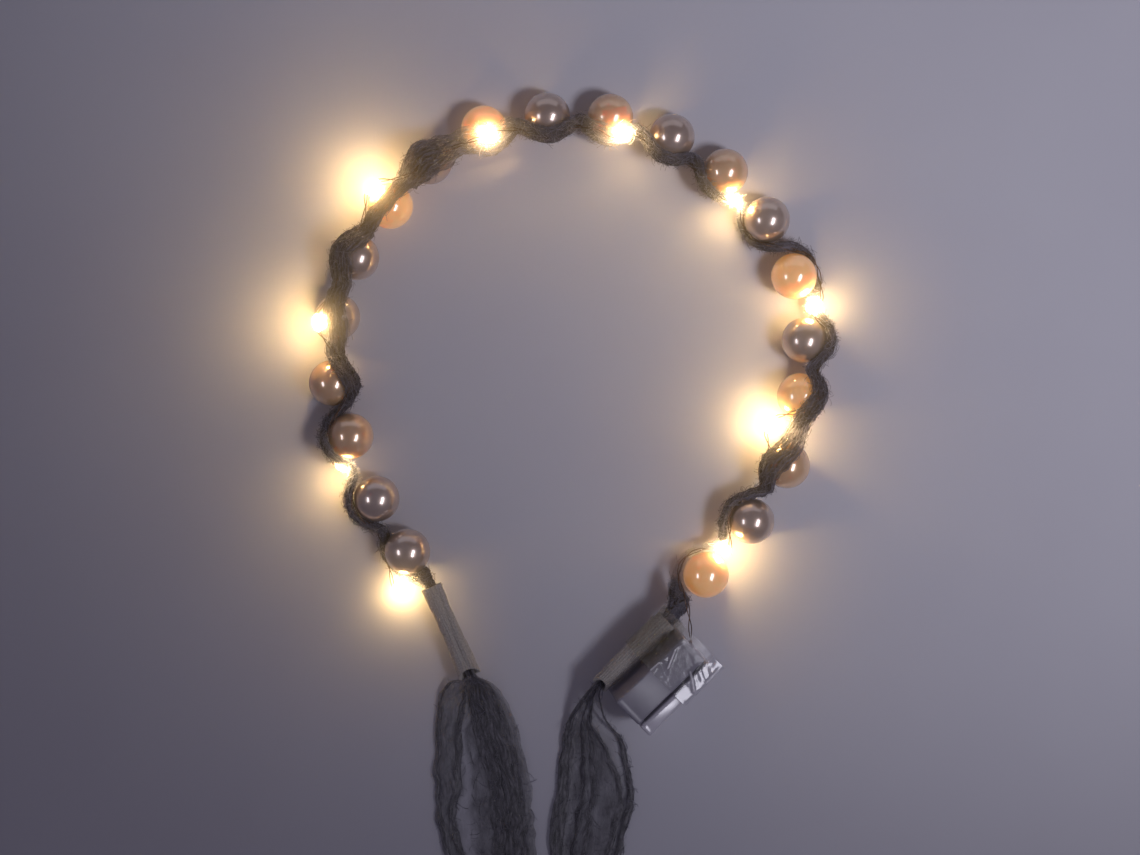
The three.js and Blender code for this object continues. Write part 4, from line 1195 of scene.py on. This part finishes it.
sleeve_side = np.array((-math.sin(CASE_TURN), math.cos(CASE_TURN), 0))
sleeve_from_case = SLEEVE_RIGHT_MIDDLE - np.array(CASE_PLACE)
wrapped = [(np.dot(sleeve_from_case, sleeve_side), sleeve_from_case[2], SLEEVE_RIGHT_HALVES[0][1])]
for y in (CORNER_RADIUS, CASE_THICK - CORNER_RADIUS):
    for z in (CORNER_RADIUS, CASE_HEIGHT - CORNER_RADIUS):
        wrapped.append((*swung(y, z, CASE_LEAN), CORNER_RADIUS))
outline = []
for angle in np.linspace(0, 2 * math.pi, 721):
    facing = (math.cos(angle), math.sin(angle))
    y, z, radius = max(wrapped, key=lambda disc: disc[0] * facing[0] + disc[1] * facing[1] + disc[2])
    outline.append((y + (radius + TAPE_CLEAR) * facing[0], z + (radius + TAPE_CLEAR) * facing[1], *facing))
outline = np.array(outline)
lengths = np.concatenate([[0], np.cumsum(np.linalg.norm(np.diff(outline[:, :2], axis=0), axis=1))])
columns = int(lengths[-1] / TAPE_STEP)
at = np.linspace(0, lengths[-1], columns, endpoint=False)
outline = np.stack([np.interp(at, lengths, outline[:, k]) for k in range(4)], 1)


def from_crease(x, y, crease):
    """How far a place on the tape is from a crease."""
    start, end = np.array(crease)
    along = np.clip(np.dot((x, y) - start, end - start) / np.dot(end - start, end - start), 0, 1)
    return np.linalg.norm(start + along * (end - start) - (x, y))


def film_over_lid(x, y):
    """The film's lift over the lid: its edge stands up, and a ridge slopes away past the third crease."""
    (x0, y0), (x1, y1) = TAPE_CREASES[2]
    past = x - np.interp(y, (y1, y0), (x1, x0))
    ridge = max(1 - past / RIDGE_REACH, 0) if past > 0 else max(1 + past / RIDGE_RISE, 0)
    return EDGE_LIFT * max(1 - x / EDGE_REACH, 0) + RIDGE_LIFT * ridge


tape_rows = []
film_marks = {"cover": [], "yellowed_and_shaded": [], "crease_and_glare": []}
for x in np.arange(0, TAPE_WIDTH + TAPE_STEP / 2, TAPE_STEP):
    row = []
    for along_tape, (y, z, ny, nz) in zip(at, outline):
        wrinkle, cover, yellowed_and_shaded = [
            np.interp(y, TAPE_ACROSS["back"], TAPE_ACROSS[key]) for key in ("wrinkle", "cover", "yellowed_and_shaded")
        ]
        on_top = max(nz, 0) if z > CASE_HEIGHT / 2 else 0
        nearest = min(from_crease(x, y, crease) for crease in TAPE_CREASES)
        # white painted glare along the creases, which also lift the film
        crease_and_glare = min(1.4 * math.exp(-((nearest / CREASE_HALF) ** 2)), 1) if on_top else 0
        ripple = 1 - 2 * abs(crinkled(along_tape + 0.6 * x, x, 31.0, 6.0))
        lift = wrinkle * (ripple**3 + 0.5 * crinkled(along_tape, x, 37.0, 2.2)) + CREASE_RISE * crease_and_glare
        lift += on_top * film_over_lid(x, y) * np.interp(y, (1.0, 2.6), (1, 0))
        row.append(case_point(x, y + lift * ny, max(z + lift * nz, TAPE_FLOOR), leans=False))
        down_side = not on_top and y <= TAPE_BRIDGE
        past_end = x > CASE_LENGTH / 2 and 2 < y < TAPE_BRIDGE
        if down_side or past_end:
            cover = SINGLE_COVER
        film_marks["cover"].append(max(cover, CREASE_COVER * crease_and_glare))
        film_marks["yellowed_and_shaded"].append(yellowed_and_shaded)
        film_marks["crease_and_glare"].append(crease_and_glare)
    tape_rows.append(row)
tape = grid_piece("tape_film", np.array(tape_rows), clear_film, wraps=True)
for name, values in film_marks.items():
    mark(tape, name, values)
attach(tape, "root")
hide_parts("clear_tape")

# Tails: the ribbon's two ends below the sleeves, gathered at the neck and lying in loose flat folds. Each
# row has the left and right edge, the lowest height, the folds' height, and two places across the tail as
# shares of its width: a line where the cloth is folded back, and where the close folds begin or end.
TAIL_FLAT = (0.05, 0.078)
TAIL_COLUMNS = 168
TAIL_STATIONS = 120
TAIL_FIBRES = 1.0e5  # in a square metre
TAILS = {
    "left": [
        ((-37.9, -83.8), (-34.5, -82.4), 6.5, 2.4, 0.40, 0.44),
        ((-36.3, -87.9), (-32.9, -86.5), 6.5, 2.4, 0.40, 0.44),
        ((-42.8, -89.4), (-26.8, -90.4), 2.6, 2.2, 0.42, 0.44),
        ((-46.4, -95.4), (-21.9, -97.4), 0.4, 2.2, 0.40, 0.42),
        ((-47.3, -107.6), (-18.3, -107.6), 0.2, 2.0, 0.29, 0.45),
        ((-47.8, -123.7), (-14.1, -123.7), 0.2, 1.8, 0.26, 0.53),
        ((-48.3, -135.0), (-13.2, -135.0), 0.2, 1.8, 0.18, 0.55),
        ((-45.4, -144.0), (-12.3, -144.0), 0.2, 1.8, 0.16, 0.53),
        ((-42.4, -156.0), (-11.6, -156.0), 0.2, 1.8, 0.22, 0.50),
    ],
    "right": [
        ((12.1, -85.6), (14.4, -87.9), 13.1, 2.4, 0.55, 0.20),
        ((8.5, -89.0), (10.8, -91.3), 12.9, 2.4, 0.55, 0.20),
        ((3.4, -95.2), (11.6, -99.4), 6.6, 2.2, 0.55, 0.18),
        ((-1.0, -102.6), (14.3, -104.8), 2.0, 2.2, 0.58, 0.16),
        ((-2.9, -110.0), (18.6, -110.0), 0.2, 2.2, 0.66, 0.16),
        ((-4.6, -119.0), (21.2, -119.0), 0.2, 1.9, 0.78, 0.17),
        ((-6.7, -131.0), (22.8, -131.0), 0.2, 1.8, 0.87, 0.18),
        ((-7.3, -142.0), (20.2, -142.0), 0.2, 1.8, 0.88, 0.19),
        ((-7.5, -156.0), (16.4, -156.0), 0.2, 1.8, 0.86, 0.20),
    ],
}


def folds_across(side, line, close):
    """Where the cloth lies across a tail, from one of its edges to the other. A step back is a fold."""
    if side == "left":
        rest = 1 - close
        packed = [close + rest * share for share in (0.34, 0.02, 0.5, 0.2, 0.68, 0.42, 0.84, 0.66)]
        return [0.0, 0.07, 0.02, line + 0.02, line - 0.05, line, *packed, 1.0]
    packed = [close, 0.02, 0.75 * close, 0.3 * close, close + 0.04]
    return [0.05, *packed, 0.36, 0.31, 0.5, 0.44, line, line - 0.08, line, 1.0, 0.91, 0.98]


tail_organza = sheer_organza("organza_loose", "#4e4d51", "#8e8b92", 0.3, 0.9)
OPEN_CLOTH = 0.3


def tail_piece(side):
    """One tail. Beside its fold line the cloth lies single and open, and elsewhere in close layers."""
    left_edge, right_edge, *measures = zip(*TAILS[side])
    at = np.linspace(0, len(left_edge) - 1, TAIL_STATIONS + 1)
    left = smooth_line([drawn(*place) for place in left_edge], at)
    right = smooth_line([drawn(*place) for place in right_edge], at)
    lift, fold, line, close = [np.interp(at, range(len(left_edge)), values) for values in measures]
    points, closeness = [], []
    for i in range(TAIL_STATIONS + 1):
        opened = (line[i], mix(line[i], close[i], 0.55)) if side == "left" else (line[i], 0.94)
        knots = folds_across(side, line[i], close[i])
        knot_numbers = np.linspace(0, len(knots) - 1, TAIL_COLUMNS + 1)
        shares = smooth_line([(knot, 0, 0) for knot in knots], knot_numbers)[:, 0]
        down = i / TAIL_STATIONS * TAIL_FLAT[1]
        loose = min(1.0, i / TAIL_STATIONS * 3)
        row = []
        for k, share in enumerate(shares):
            flat_across = k / TAIL_COLUMNS * TAIL_FLAT[0]
            drift = 0.05 * crinkled(share * 20 * MM, down, 41.0, 16 * MM)
            drift += 0.04 * crinkled(flat_across, down, 53.0, 5 * MM)
            spot = left[i] + (right[i] - left[i]) * (share + loose * drift)
            layer = 0.5 + 0.5 * math.sin(2 * math.pi * len(knots) / 2 * k / TAIL_COLUMNS)
            rough = crinkled(flat_across, down * 0.5, 43.0, 4 * MM)
            rough += 0.6 * crinkled(flat_across, down, 47.0, 1.7 * MM)
            height = lift[i] + fold[i] * layer + 0.6 * rough
            row.append((spot[0] + 0.3 * MM * rough, spot[1], max(height, 0.1) * MM))
            inside = min(share - opened[0], opened[1] - share) / 0.04
            closeness.append(1 - (1 - OPEN_CLOTH) * loose * min(max(inside, 0), 1))
        points.append(row)
    piece = grid_piece(f"organza_tail_{side}", np.array(points), tail_organza)
    mark(piece, "close", closeness)
    return piece


for side in TAILS:
    tail = tail_piece(side)
    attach(tail, "root")
    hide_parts(f"ribbon_tail_{side}")
    fuzz = fibres_on(tail, f"organza_tail_fuzz_{side}", TAIL_FIBRES, FIBRE_SEED + 1)

# Lens: the drops are far brighter than the rest, so they bloom in the camera's lens.
scene = bpy.context.scene
scene.use_nodes = True
scene.node_tree.nodes.clear()
layers = add(scene.node_tree, "CompositorNodeRLayers")
bloom = add(scene.node_tree, "CompositorNodeGlare", {
    "Image": layers.outputs["Image"], "Threshold": 1.0, "Strength": 0.2, "Size": 0.25,
}, glare_type="BLOOM")
add(scene.node_tree, "CompositorNodeComposite", {"Image": bloom.outputs["Image"]})
